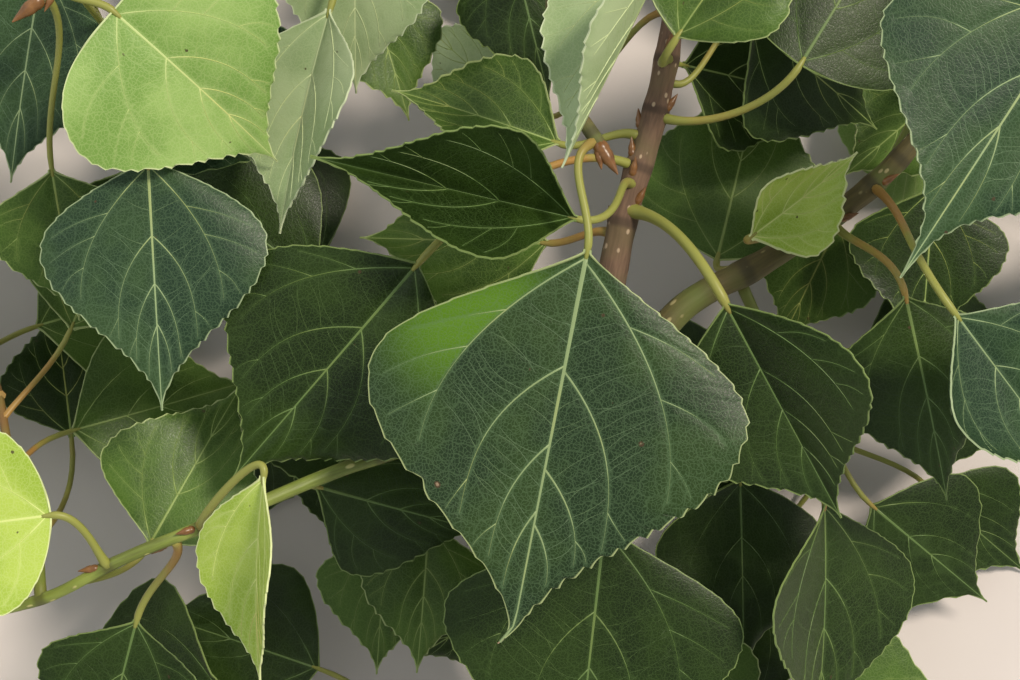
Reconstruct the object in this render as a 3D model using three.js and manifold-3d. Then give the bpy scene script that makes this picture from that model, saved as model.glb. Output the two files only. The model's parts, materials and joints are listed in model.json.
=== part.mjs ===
// A cut leafy branch of poplar, lying on its cut end and its lower leaves.
// Millimetres, +Z up, the floor at z = 0. The branch is looked at from above,
// with its cut end towards -Y and its growing tip towards +Y.
import * as THREE from 'three';
import Module from 'manifold-3d';

const wasm = await Module();
wasm.setup();

// Driving dimensions in mm.
const GAP = 0.3; // between a limb and the foot of what grows on it
const BOX_CENTRE = [-5, 15.6]; // middle of the branch in plan, moved to the origin
const BLADE_THICKNESS = 0.0125; // share of the blade's length
const PETIOLE_RADIUS = 0.85;
const PETIOLE_FOOT = 1.3; // how much thicker the petiole is where it leaves the stem
const PETIOLE_HANDLES = [0.3, 0.35]; // how far its curve runs straight on, as shares of its reach
const SHORTEST_EDGE = 0.02; // shorter ones, which fusing leaves, are closed up

// Outline of a blade, where its row below states no other.
const FLARE = 1.2; // how slowly the width grows from the petiole
const FALL = 2.1; // how fast it shrinks to the drip tip
const DRIP_TIP = 0.022; // half width that the drip tip keeps, as a share of the length
const RIPPLE_WAVES = 1.6; // waves of the margin from base to tip
const RIPPLE_PHASE = [1, 2.6]; // radians, of the right and the left margin
const RIPPLE_END = 5; // how fast the waves die away at the tip

// Rule for a leafy twig.
const TWIG_RADIUS = 1.3;
const TWIG_TAPER = 0.45; // share of the radius that is gone at its tip
const TWIG_SIDES = 5;
const TWIG_KNOTS = 4; // bends along it
const TWIG_SWING = 9; // degrees that each bend may turn it in plan
const TWIG_SAG = 2; // degrees more that it dips after each bend
const TWIG_AIM = 20; // mm along its heading to the point that its foot faces
const FIRST_LEAF = 0.18; // share of its length below the first leaf
const LEAF_TURN = 144; // degrees round the twig from leaf to leaf
const LEAF_LEAN = 52; // degrees between twig and petiole
const PETIOLE_SHARE = 0.62; // petiole length over blade length
const CLEARANCE = 4; // mm kept between the leaves of the twigs
const TRIES = 6; // ways tried for each leaf before it is left out
const HIGHEST_TWIG_LEAF = 58; // mm, for twigs below the named leaves
const LOWEST_TWIG_LEAF = 0.6; // mm, a blade that would lie lower is raised

// Ranges that a leaf of a twig is drawn from, in the order they are drawn.
const TWIG_LEAF = {
  size: [0.82, 1.12], // of the twig's blade length
  turn: [-32, 32], // degrees between petiole and midrib in plan
  rise: [-28, 8],
  roll: [-26, 26],
  width: [0.42, 0.48],
  shoulder: [0.3, 0.38],
  flare: [0.7, 1.3],
  fall: [2, 3],
  fold: [-4, 14],
  curl: [-26, 6],
  droop: [4, 22],
  ripple: [0.4, 1.2],
};

const BARK = { color: 0x6e5a48, roughness: 0.85, metalness: 0 };
const YOUNG_SHOOT = { color: 0x6b7a34, roughness: 0.6, metalness: 0 };
const LEAF = { color: 0x3f6134, roughness: 0.5, metalness: 0 };
const YOUNG_LEAF = { color: 0x7fa044, roughness: 0.5, metalness: 0 };

// The limbs. A first point at a parent limb is worked out from that limb.
const LIMBS = [
  {
    name: 'main_stem',
    radius: [4.6, 1.3],
    sides: 10,
    rings: 26,
    material: BARK,
    points: [
      [-10, -196, 4.34], [-4, -150, 21], [4, -96, 40], [12, -42, 54], [18, -4, 60],
      [23, 24, 62], [30, 48, 62], [34, 72, 63], [37, 104, 61], [35, 132, 55], [40, 156, 44],
    ],
  },
  {
    name: 'right_shoot',
    parent: 'main_stem',
    at: 0.36,
    radius: [3.3, 1.1],
    sides: 8,
    rings: 18,
    material: BARK,
    points: [[34, 5, 53], [54, 17, 51], [74, 31, 51], [87, 45, 53], [102, 65, 55], [114, 88, 52], [122, 110, 44]],
  },
  {
    name: 'left_shoot',
    parent: 'main_stem',
    at: 0.4,
    radius: [1.7, 0.9],
    sides: 8,
    rings: 16,
    material: YOUNG_SHOOT,
    points: [
      [-8, -17, 65], [-34, -26, 72], [-56, -35, 78], [-76, -43, 79], [-92, -51, 78], [-112, -56, 72], [-132, -60, 62],
    ],
  },
  {
    name: 'upper_left_shoot',
    parent: 'main_stem',
    at: 0.7,
    radius: [2.1, 1.2],
    sides: 8,
    rings: 14,
    material: BARK,
    points: [[14, 92, 68], [-16, 101, 77], [-48, 94, 86], [-76, 77, 92], [-90, 65, 95]],
  },
  {
    name: 'front_twig',
    parent: 'main_stem',
    at: 0.755,
    radius: [1.7, 1.3],
    sides: 8,
    rings: 14,
    material: BARK,
    points: [[24, 90, 78], [11, 78, 88], [8, 57, 95], [11, 47, 97], [17, 37, 99]],
  },
];

// The leaves that show from above, each hung from its limb. heading is the
// way the midrib runs in plan, rise its slope, roll the turn about it, fold
// and curl what the two halves do, the leaf's own right hand first.
const LEAVES = [
  {
    name: 'leaf_centre', limb: 'front_twig', at: 0.97, base: [14.6, 17, 103],
    heading: -101, rise: -3, roll: 3, length: 77, width: 0.475, shoulder: 0.37,
    fold: [4, 2], curl: [-10, -14], droop: 4, ripple: 1.2,
  },
  {
    name: 'leaf_top_left', limb: 'upper_left_shoot', at: 0.93, base: [-76, 63, 94],
    heading: -41, rise: -2, roll: -4, length: 46, width: 0.54, shoulder: 0.3, flare: 0.3,
    fold: [2, 14], curl: [-8, -14], droop: 46, ripple: 1,
  },
  {
    name: 'leaf_left', limb: 'upper_left_shoot', at: 0.8, base: [-70.7, 35, 84],
    heading: -87, rise: 0, roll: -4, length: 49, width: 0.46, shoulder: 0.34, flare: 0.9,
    fold: [-6, 12], curl: [-10, -26], droop: 6, ripple: 0.8,
  },
  {
    name: 'leaf_left_edge_on', limb: 'upper_left_shoot', at: 0.5, base: [-36, 66, 72],
    heading: -106, rise: 6, roll: 44, length: 46, width: 0.4, shoulder: 0.36,
    fold: [16, 16], curl: [0, 0], droop: 10, ripple: 0.8,
  },
  {
    name: 'leaf_mid_folded', limb: 'main_stem', at: 0.53, base: [13, 23.5, 88],
    heading: 167, rise: 0, roll: 0, length: 53, width: 0.38, shoulder: 0.3,
    fold: [46, 50], curl: [12, 12], droop: -8, ripple: 0.8,
  },
  {
    name: 'leaf_left_dark', limb: 'main_stem', at: 0.545, base: [-18, 15, 82],
    heading: -131, rise: -6, roll: -4, length: 58, width: 0.45, shoulder: 0.4, flare: 0.9,
    fold: [4, 8], curl: [-10, -34], droop: 8, ripple: 0.8,
  },
  {
    name: 'leaf_top_rolled', limb: 'front_twig', at: 0.3, base: [28.8, 71.5, 111],
    heading: -116, rise: 0, roll: 66, length: 44, width: 0.4, shoulder: 0.36,
    fold: [34, 34], curl: [34, 34], droop: 0, ripple: 0.4,
  },
  {
    name: 'leaf_top_right_small', limb: 'main_stem', at: 0.64, base: [32, 58, 94],
    heading: 56, rise: 4, roll: -30, length: 40, width: 0.42, shoulder: 0.3, flare: 0.8,
    fold: [14, 24], curl: [-60, 10], droop: 10, ripple: 0.6,
  },
  {
    name: 'leaf_top_right_dark', limb: 'main_stem', at: 0.59, base: [58, 55, 72],
    heading: 58, rise: -4, roll: 4, length: 46, width: 0.48, shoulder: 0.26, flare: 0.5,
    fold: [-4, -4], curl: [-14, -14], droop: 10, ripple: 1,
  },
  {
    name: 'leaf_right_large', limb: 'right_shoot', at: 0.86, base: [108, 66, 109],
    heading: -123, rise: 3, roll: 0, length: 65, width: 0.46, shoulder: 0.36, fall: 3.4,
    fold: [8, 8], curl: [-12, -12], droop: 6, ripple: 1.2,
  },
  {
    name: 'leaf_right_curled', limb: 'right_shoot', at: 0.44, base: [85, 5, 96],
    heading: -52, rise: -8, roll: 10, length: 44, width: 0.46, shoulder: 0.32,
    fold: [30, 4], curl: [70, -20], droop: 10, ripple: 0.6,
  },
  {
    name: 'leaf_right_dark', limb: 'right_shoot', at: 0.37, base: [79, 9, 72],
    heading: -76, rise: -8, roll: -6, length: 44, width: 0.44, shoulder: 0.34,
    fold: [-6, -6], curl: [-10, -10], droop: 10, ripple: 0.8,
  },
  {
    name: 'leaf_right_mid', limb: 'main_stem', at: 0.51, base: [42, 7, 86],
    heading: -61, rise: -8, roll: 4, length: 50, width: 0.46, shoulder: 0.4, flare: 0.9,
    fold: [0, 46], curl: [-8, -10], droop: 10, ripple: 0.8,
  },
  {
    name: 'leaf_bottom_mid', limb: 'main_stem', at: 0.38, base: [19, -37, 70],
    heading: -96, rise: -6, roll: 0, length: 62, width: 0.49, shoulder: 0.32,
    fold: [4, 4], curl: [-12, -12], droop: 12, ripple: 0.8,
  },
  {
    name: 'leaf_bottom_right', limb: 'main_stem', at: 0.34, base: [64, -33, 62],
    heading: -87, rise: -6, roll: -46, length: 54, width: 0.44, shoulder: 0.34,
    fold: [10, 14], curl: [10, 0], droop: 12, ripple: 0.8,
  },
  {
    name: 'leaf_low_left_edge_on', limb: 'left_shoot', at: 0.46, base: [-47, -26, 96],
    heading: -97, rise: -6, roll: 56, length: 41, width: 0.4, shoulder: 0.4,
    fold: [20, 20], curl: [0, 0], droop: 12, ripple: 0.6,
  },
  {
    name: 'leaf_left_young', limb: 'left_shoot', at: 0.6, base: [-89, -34, 88],
    heading: -173, rise: 0, roll: 10, length: 40, width: 0.46, shoulder: 0.28, flare: 0.5,
    fold: [6, 10], curl: [-10, -10], droop: 10, ripple: 0.6, young: true,
  },
  {
    name: 'leaf_low_mid_dark', limb: 'left_shoot', at: 0.24, base: [-40, -30, 58],
    heading: -16, rise: -8, roll: 0, length: 38, width: 0.42, shoulder: 0.32,
    fold: [-4, -4], curl: [-12, -12], droop: 10, ripple: 0.6,
  },
  {
    name: 'leaf_low_mid_small', limb: 'left_shoot', at: 0.12, base: [-17, -38, 46],
    heading: -94, rise: -9, roll: -10, length: 34, width: 0.4, shoulder: 0.34,
    fold: [8, 8], curl: [-12, -12], droop: 10, ripple: 0.6,
  },
  {
    name: 'leaf_top_mid', limb: 'upper_left_shoot', at: 0.36, base: [-31, 84, 70],
    heading: -92, rise: -16, roll: 8, length: 36, width: 0.42, shoulder: 0.34,
    fold: [6, 6], curl: [-16, -16], droop: 12, ripple: 0.6,
  },
  {
    name: 'leaf_back_upper', limb: 'main_stem', at: 0.57, base: [10, 40, 62],
    heading: 160, rise: 2, roll: 24, length: 36, width: 0.4, shoulder: 0.34,
    fold: [20, 20], curl: [24, 24], droop: 10, ripple: 0.6,
  },
  {
    name: 'leaf_back_lower', limb: 'main_stem', at: 0.49, base: [8, 20, 54],
    heading: 178, rise: -4, roll: 0, length: 40, width: 0.46, shoulder: 0.34,
    fold: [-4, -4], curl: [-12, -12], droop: 10, ripple: 0.6,
  },
  {
    name: 'leaf_back_right', limb: 'right_shoot', at: 0.25, base: [44, 17, 38],
    heading: 76, rise: -6, roll: 0, length: 46, width: 0.48, shoulder: 0.3, flare: 0.8,
    fold: [-4, -4], curl: [-12, -12], droop: 10, ripple: 1,
  },
  {
    name: 'leaf_back_right_young', limb: 'right_shoot', at: 0.32, base: [49, 21, 60],
    heading: 36, rise: 6, roll: 26, length: 28, width: 0.42, shoulder: 0.34,
    fold: [20, 20], curl: [30, 30], droop: 10, ripple: 0.8, young: true,
  },
  {
    name: 'leaf_top_centre', limb: 'main_stem', at: 0.74, base: [0, 82, 58],
    heading: -76, rise: 0, roll: 0, length: 34, width: 0.42, shoulder: 0.34,
    fold: [-4, -4], curl: [-16, -16], droop: 10, ripple: 0.6,
  },
  {
    name: 'leaf_far_left', limb: 'upper_left_shoot', at: 0.86, base: [-94, 76, 68],
    heading: -102, rise: -8, roll: 8, length: 46, width: 0.44, shoulder: 0.34,
    fold: [4, 4], curl: [-14, -14], droop: 12, ripple: 0.6,
  },
  {
    name: 'leaf_bottom_left', limb: 'left_shoot', at: 0.5, base: [-76, -57, 62],
    heading: -106, rise: -12, roll: 0, length: 40, width: 0.44, shoulder: 0.34,
    fold: [4, 4], curl: [-14, -14], droop: 12, ripple: 0.6,
  },
];

// Twigs with leaves of their own, that fill the branch out on every side.
const TWIGS = [
  {
    name: 'twig_top', limb: 'main_stem', at: 1,
    heading: 92, rise: -8, length: 24, leaves: 6, blade: 41, seed: 11,
  },
  {
    name: 'twig_top_left', limb: 'main_stem', at: 0.86,
    heading: 146, rise: -12, length: 66, leaves: 9, blade: 44, seed: 23,
  },
  {
    name: 'twig_top_right', limb: 'main_stem', at: 0.8,
    heading: 42, rise: -14, length: 54, leaves: 8, blade: 43, seed: 31,
  },
  {
    name: 'twig_top_below', limb: 'main_stem', at: 0.7,
    heading: 112, rise: -38, length: 62, leaves: 8, blade: 42, seed: 43,
  },
  {
    name: 'twig_right_tip', limb: 'right_shoot', at: 1,
    heading: 66, rise: -12, length: 22, leaves: 5, blade: 38, seed: 59,
  },
  {
    name: 'twig_right_low', limb: 'right_shoot', at: 0.62,
    heading: -8, rise: -26, length: 50, leaves: 8, blade: 40, seed: 67,
  },
  {
    name: 'twig_right_below', limb: 'right_shoot', at: 0.5,
    heading: 68, rise: -34, length: 54, leaves: 8, blade: 40, seed: 71,
  },
  {
    name: 'twig_bottom_right', limb: 'main_stem', at: 0.3,
    heading: -62, rise: -14, length: 66, leaves: 8, blade: 45, seed: 83,
  },
  {
    name: 'twig_bottom_left', limb: 'main_stem', at: 0.24,
    heading: -160, rise: -10, length: 78, leaves: 9, blade: 46, seed: 97,
  },
  {
    name: 'twig_left_tip', limb: 'left_shoot', at: 1,
    heading: 188, rise: -16, length: 18, leaves: 5, blade: 36, seed: 103,
  },
  {
    name: 'twig_left_below', limb: 'left_shoot', at: 0.72,
    heading: 112, rise: -34, length: 72, leaves: 9, blade: 43, seed: 113,
  },
  {
    name: 'twig_middle_below', limb: 'main_stem', at: 0.35,
    heading: 160, rise: -34, length: 78, leaves: 9, blade: 42, seed: 141,
  },
  {
    name: 'twig_centre_below', limb: 'right_shoot', at: 0.24,
    heading: -52, rise: -36, length: 60, leaves: 8, blade: 42, seed: 131,
  },
  {
    name: 'twig_upper_left_below', limb: 'upper_left_shoot', at: 0.62,
    heading: 216, rise: -40, length: 66, leaves: 8, blade: 42, seed: 139,
  },
];

const UP = new THREE.Vector3(0, 0, 1);
const rad = THREE.MathUtils.degToRad;
const vector = (p) => new THREE.Vector3(...p);

// Random numbers that come out the same on every run.
function seeded(seed) {
  let state = seed;
  return (low, high) => {
    state = (state * 16807) % 2147483647;
    return low + ((high - low) * state) / 2147483647;
  };
}

// A unit vector from its heading in plan and its slope.
function direction(heading, rise) {
  const flat = Math.cos(rad(rise));
  return new THREE.Vector3(flat * Math.cos(rad(heading)), flat * Math.sin(rad(heading)), Math.sin(rad(rise)));
}

// The part of a vector that is square to an axis, as a unit vector.
function squareTo(v, axis) {
  return v.clone().addScaledVector(axis, -v.dot(axis)).normalize();
}

// A smooth curve through points, with its ends doubled.
function along(points, u) {
  const last = points.length - 1;
  const i = Math.min(Math.floor(u * last), last - 1);
  const x = u * last - i;
  const a = points[Math.max(i - 1, 0)];
  const b = points[i];
  const c = points[i + 1];
  const d = points[Math.min(i + 2, last)];
  const out = new THREE.Vector3();
  for (const k of ['x', 'y', 'z']) {
    const slopeB = (c[k] - a[k]) / 2;
    const slopeC = (d[k] - b[k]) / 2;
    out[k] = b[k] + slopeB * x + (3 * (c[k] - b[k]) - 2 * slopeB - slopeC) * x * x;
    out[k] += (2 * (b[k] - c[k]) + slopeB + slopeC) * x * x * x;
  }
  return out;
}

function heading(points, u) {
  const step = 0.002;
  return along(points, Math.min(u + step, 1)).sub(along(points, Math.max(u - step, 0))).normalize();
}

// Skins rings of points into one closed mesh. The first ring is closed flat,
// the last one by a fan to the tip, or flat where there is no tip. The second
// half of a ring is split the other way, so that the two sides of a thin
// blade keep the same diagonals and never cross.
function skin(rings, tip) {
  const n = rings[0].length;
  const positions = rings.flat().flatMap((p) => [p.x, p.y, p.z]);
  const index = [];
  for (let i = 0; i + 1 < rings.length; i++) {
    for (let j = 0; j < n; j++) {
      const a = i * n + j;
      const b = i * n + ((j + 1) % n);
      if (j < n / 2) index.push(a, b, b + n, a, b + n, a + n);
      else index.push(a, b, a + n, b, b + n, a + n);
    }
  }
  const end = (rings.length - 1) * n;
  for (let j = 1; j + 1 < n; j++) index.push(0, j + 1, j);
  if (tip) {
    positions.push(tip.x, tip.y, tip.z);
    for (let j = 0; j < n; j++) index.push(end + j, end + ((j + 1) % n), end + n);
  } else {
    for (let j = 1; j + 1 < n; j++) index.push(end, end + j, end + j + 1);
  }
  const geometry = new THREE.BufferGeometry();
  geometry.setAttribute('position', new THREE.Float32BufferAttribute(positions, 3));
  geometry.setIndex(index);
  return geometry;
}

// A round ring square to an axis, with a corner straight below its centre.
function ring(centre, axis, radius, sides) {
  const normal = squareTo(UP, axis);
  const side = axis.clone().cross(normal);
  return Array.from({ length: sides }, (_, k) => {
    const turn = (2 * Math.PI * k) / sides - Math.PI / 2;
    return centre.clone().addScaledVector(side, -radius * Math.cos(turn)).addScaledVector(normal, radius * Math.sin(turn));
  });
}

// Limbs, from the cut stem outwards.
const limbs = {};

function radiusAt(limb, u) {
  return limb.radius[0] + (limb.radius[1] - limb.radius[0]) * u;
}

// Where something that grows towards a point leaves a limb, and which way.
function footOn(limb, u, target) {
  const centre = along(limb.path, u);
  const axis = heading(limb.path, u);
  if (u === 1) return { foot: centre.addScaledVector(axis, GAP), out: axis };
  const out = squareTo(target.clone().sub(centre), axis);
  return { foot: centre.clone().addScaledVector(out, radiusAt(limb, u) + GAP), out };
}

function growLimb(spec) {
  const path = spec.points.map(vector);
  const limb = { ...spec, path };
  let firstAxis = null;
  if (spec.parent) {
    const { foot, out } = footOn(limbs[spec.parent], spec.at, path[0]);
    path.unshift(foot);
    firstAxis = out;
  }
  const rings = [];
  for (let i = 0; i < spec.rings; i++) {
    const u = i / (spec.rings - 1);
    const axis = i === 0 && firstAxis ? firstAxis : heading(path, u);
    rings.push(ring(along(path, u), axis, radiusAt(limb, u), spec.sides));
  }
  limbs[spec.name] = limb;
  return skin(rings);
}

// Half the width of a blade at a share s of its length.
function halfWidth(leaf, s) {
  if (s < leaf.shoulder) {
    return leaf.width * Math.sin((Math.PI / 2) * (s / leaf.shoulder)) ** (leaf.flare ?? FLARE);
  }
  const x = (s - leaf.shoulder) / (1 - leaf.shoulder);
  return leaf.width * Math.cos((Math.PI / 2) * x) ** (leaf.fall ?? FALL) + DRIP_TIP * Math.sin(Math.PI * x);
}

// Axes of a blade at its base: along the midrib, out of the upper side, and
// towards its own left hand.
function bladeAxes(leaf) {
  const ahead = direction(leaf.heading, leaf.rise);
  const normal = squareTo(UP, ahead).applyAxisAngle(ahead, rad(leaf.roll));
  return { ahead, normal, side: normal.clone().cross(ahead) };
}

// A point of a blade and the way its upper side faces there. s runs from the
// base to the tip, v from the right margin at -1 to the left one at 1.
function bladePoint(leaf, axes, s, v) {
  const bend = rad(leaf.droop) || 1e-6;
  const turn = bend * s;
  const normal = axes.normal.clone().multiplyScalar(Math.cos(turn)).addScaledVector(axes.ahead, Math.sin(turn));
  const point = vector(leaf.base)
    .addScaledVector(axes.ahead, (leaf.length * Math.sin(turn)) / bend)
    .addScaledVector(axes.normal, (-leaf.length * (1 - Math.cos(turn))) / bend);
  const half = v > 0 ? 1 : 0;
  const reach = Math.abs(v);
  const wide = Math.max(leaf.length * halfWidth(leaf, s), PETIOLE_RADIUS);
  const steps = 6;
  let out = 0;
  let rise = 0;
  let angle = rad(leaf.fold[half]);
  for (let i = 0; i < steps; i++) {
    const u = (reach * (i + 0.5)) / steps;
    angle = rad(leaf.fold[half] + leaf.curl[half] * u * u);
    out += (Math.cos(angle) * reach) / steps;
    rise += (Math.sin(angle) * reach) / steps;
  }
  const wave = Math.sin(2 * Math.PI * RIPPLE_WAVES * s + RIPPLE_PHASE[half]) * Math.min(1, RIPPLE_END * (1 - s));
  const ripple = leaf.ripple * v * v * wave;
  point.addScaledVector(axes.side, Math.sign(v) * wide * out).addScaledVector(normal, wide * rise + ripple);
  const face = normal.multiplyScalar(Math.cos(angle)).addScaledVector(axes.side, -Math.sign(v) * Math.sin(angle));
  return { point, face };
}

// The petiole's centre line, from its foot to the base of the blade.
function petiolePoint(leaf, axes, u) {
  const base = vector(leaf.base);
  const reach = base.distanceTo(leaf.foot);
  const a = leaf.foot.clone().addScaledVector(leaf.out, PETIOLE_HANDLES[0] * reach);
  const b = base.clone().addScaledVector(axes.ahead, -PETIOLE_HANDLES[1] * reach);
  return new THREE.CubicBezierCurve3(leaf.foot, a, b, base).getPoint(u);
}

// One leaf as a closed solid: rings up the petiole, then across the blade.
function leafSolid(leaf, fine) {
  const axes = bladeAxes(leaf);
  const thick = (leaf.length * BLADE_THICKNESS) / 2;
  const petioleSteps = fine ? 4 : 2;
  const stations = fine ? [0, 0.06, 0.14, 0.25, 0.37, 0.5, 0.63, 0.76, 0.9] : [0, 0.12, 0.3, 0.5, 0.76];
  const columns = fine ? [1, 0.55, 0, -0.55, -1, -0.55, 0, 0.55] : [1, 0, -1, 0];
  const sides = columns.length;
  const rings = [];
  for (let i = 0; i < petioleSteps; i++) {
    const u = i / petioleSteps;
    const axis = i === 0 ? leaf.out : petiolePoint(leaf, axes, u + 0.02).sub(petiolePoint(leaf, axes, u - 0.02)).normalize();
    const normal = squareTo(axes.normal, axis);
    const side = normal.clone().cross(axis);
    const radius = PETIOLE_RADIUS * (i === 0 ? PETIOLE_FOOT : 1);
    rings.push(
      Array.from({ length: sides }, (_, k) => {
        const turn = (2 * Math.PI * k) / sides;
        return petiolePoint(leaf, axes, u)
          .addScaledVector(side, radius * Math.cos(turn))
          .addScaledVector(normal, radius * Math.sin(turn));
      }),
    );
  }
  for (const s of stations) {
    const taper = s === 0 ? PETIOLE_RADIUS : thick;
    rings.push(
      columns.map((v, k) => {
        const { point, face } = bladePoint(leaf, axes, s, v);
        const lift = Math.abs(v) === 1 ? 0 : k < sides / 2 ? taper : -taper;
        return point.addScaledVector(face, lift);
      }),
    );
  }
  return skin(rings, bladePoint(leaf, axes, 1, 0).point);
}

// Points spread over a leaf, that stand for it when clearances are tested.
function leafSamples(leaf) {
  const axes = bladeAxes(leaf);
  const samples = [];
  for (let i = 1; i <= 4; i++) samples.push(petiolePoint(leaf, axes, i / 5));
  for (let i = 0; i <= 8; i++) {
    for (let j = -4; j <= 4; j++) samples.push(bladePoint(leaf, axes, i / 8, j / 4).point);
  }
  return samples;
}

const taken = []; // groups of points that later leaves keep clear of

function keep(samples, spare) {
  const box = new THREE.Box3().setFromPoints(samples).expandByScalar(CLEARANCE + spare);
  taken.push({ samples, spare, box });
}

function isFree(samples) {
  return !taken.some(({ samples: others, spare, box }) =>
    samples.some((p) => box.containsPoint(p) && others.some((q) => p.distanceTo(q) < CLEARANCE + spare)),
  );
}

// A closed three.js mesh as a manifold solid, and back.
function toManifold(geometry) {
  const mesh = new wasm.Mesh({
    numProp: 3,
    vertProperties: geometry.attributes.position.array,
    triVerts: new Uint32Array(geometry.index.array),
  });
  return new wasm.Manifold(mesh);
}

function toGeometry(solid) {
  const mesh = solid.getMesh();
  const geometry = new THREE.BufferGeometry();
  geometry.setAttribute('position', new THREE.Float32BufferAttribute(mesh.vertProperties, 3));
  geometry.setIndex(new THREE.Uint32BufferAttribute(mesh.triVerts, 1));
  return geometry;
}

// Draws the ends of each very short edge together, and drops the faces that
// this leaves with no area.
function closeShortEdges(geometry) {
  const { array: xyz } = geometry.attributes.position;
  const index = Array.from(geometry.index.array);
  const home = Array.from({ length: xyz.length / 3 }, (_, i) => i);
  const root = (i) => {
    while (home[i] !== i) i = home[i];
    return i;
  };
  for (let i = 0; i < index.length; i++) {
    const a = index[i];
    const b = index[i % 3 === 2 ? i - 2 : i + 1];
    const far = Math.hypot(xyz[3 * a] - xyz[3 * b], xyz[3 * a + 1] - xyz[3 * b + 1], xyz[3 * a + 2] - xyz[3 * b + 2]);
    if (far < SHORTEST_EDGE) home[Math.max(root(a), root(b))] = Math.min(root(a), root(b));
  }
  const kept = [];
  for (let i = 0; i < index.length; i += 3) {
    const corners = index.slice(i, i + 3).map(root);
    if (new Set(corners).size === 3) kept.push(...corners);
  }
  geometry.setIndex(kept);
  return geometry;
}

// A leafy twig: a stem that wavers and sags a little, with leaves that turn
// round it by a fixed angle. A leaf that comes too near another is skipped.
function growTwig(spec) {
  const random = seeded(spec.seed);
  const limb = limbs[spec.limb];
  const ahead = direction(spec.heading, spec.rise);
  const { foot, out } = footOn(limb, spec.at, along(limb.path, spec.at).addScaledVector(ahead, TWIG_AIM));
  const path = [foot];
  for (let i = 1; i <= TWIG_KNOTS; i++) {
    const swing = direction(spec.heading + random(-TWIG_SWING, TWIG_SWING), spec.rise - TWIG_SAG * i);
    path.push(path[i - 1].clone().addScaledVector(swing, spec.length / TWIG_KNOTS));
  }
  for (const p of path) p.z = Math.max(p.z, TWIG_RADIUS + 1);
  const rings = [];
  for (let i = 0; i <= 2 * TWIG_KNOTS; i++) {
    const u = i / (2 * TWIG_KNOTS);
    const axis = i ? heading(path, u) : out;
    rings.push(ring(along(path, u), axis, TWIG_RADIUS * (1 - TWIG_TAPER * u), TWIG_SIDES));
  }
  let solid = toManifold(skin(rings));
  for (let i = 0; i < spec.leaves; i++) {
    const u = Math.min(FIRST_LEAF + ((1 - FIRST_LEAF) * (i + 1)) / spec.leaves, 1);
    const onStem = along(path, u);
    const axis = heading(path, u);
    const radial = squareTo(UP, axis).applyAxisAngle(axis, rad(spec.seed * 37 + i * LEAF_TURN));
    const petioleWay = axis.clone().multiplyScalar(Math.cos(rad(LEAF_LEAN)));
    petioleWay.addScaledVector(radial, Math.sin(rad(LEAF_LEAN)));
    for (let attempt = 0; attempt < TRIES; attempt++) {
      const leaf = twigLeaf(spec, onStem, petioleWay, random);
      const samples = leafSamples(leaf).slice(2);
      const misplaced = samples.some((p) => p.z < LOWEST_TWIG_LEAF || p.z > HIGHEST_TWIG_LEAF);
      if (misplaced || !isFree(samples)) continue;
      keep(samples, 0);
      solid = solid.add(toManifold(leafSolid(leaf, false)));
      break;
    }
  }
  return closeShortEdges(toGeometry(solid));
}

// One leaf of a twig, drawn at random and raised clear of the floor.
function twigLeaf(spec, foot, out, random) {
  const draw = (what) => random(...TWIG_LEAF[what]);
  const length = spec.blade * draw('size');
  const base = foot.clone().addScaledVector(out, length * PETIOLE_SHARE);
  const leaf = {
    foot,
    out,
    base: base.toArray(),
    length,
    heading: THREE.MathUtils.radToDeg(Math.atan2(out.y, out.x)) + draw('turn'),
    rise: draw('rise'),
    roll: draw('roll'),
    width: draw('width'),
    shoulder: draw('shoulder'),
    flare: draw('flare'),
    fall: draw('fall'),
    fold: [draw('fold'), draw('fold')],
    curl: [draw('curl'), draw('curl')],
    droop: draw('droop'),
    ripple: draw('ripple'),
  };
  const lowest = Math.min(...leafSamples(leaf).map((p) => p.z));
  leaf.base[2] += Math.max(0, LOWEST_TWIG_LEAF - lowest);
  return leaf;
}

const branch = new THREE.Group();

function addNode(name, geometry, finish) {
  geometry.computeVertexNormals();
  const mesh = new THREE.Mesh(geometry, new THREE.MeshStandardMaterial(finish));
  mesh.name = name;
  branch.add(mesh);
}

for (const spec of LIMBS) {
  addNode(spec.name, growLimb(spec), spec.material);
  const limb = limbs[spec.name];
  for (let i = 0; i <= 60; i++) keep([along(limb.path, i / 60)], radiusAt(limb, i / 60));
}

for (const spec of LEAVES) {
  const leaf = { ...spec, ...footOn(limbs[spec.limb], spec.at, vector(spec.base)) };
  keep(leafSamples(leaf), 0);
  addNode(spec.name, leafSolid(leaf, true), spec.young ? YOUNG_LEAF : LEAF);
}

for (const spec of TWIGS) addNode(spec.name, growTwig(spec), LEAF);

branch.position.set(-BOX_CENTRE[0], -BOX_CENTRE[1], 0);

export default branch;
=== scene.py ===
import bpy
import json
import math
import numpy as np
from itertools import count
from mathutils import Matrix, Vector, noise

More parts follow.
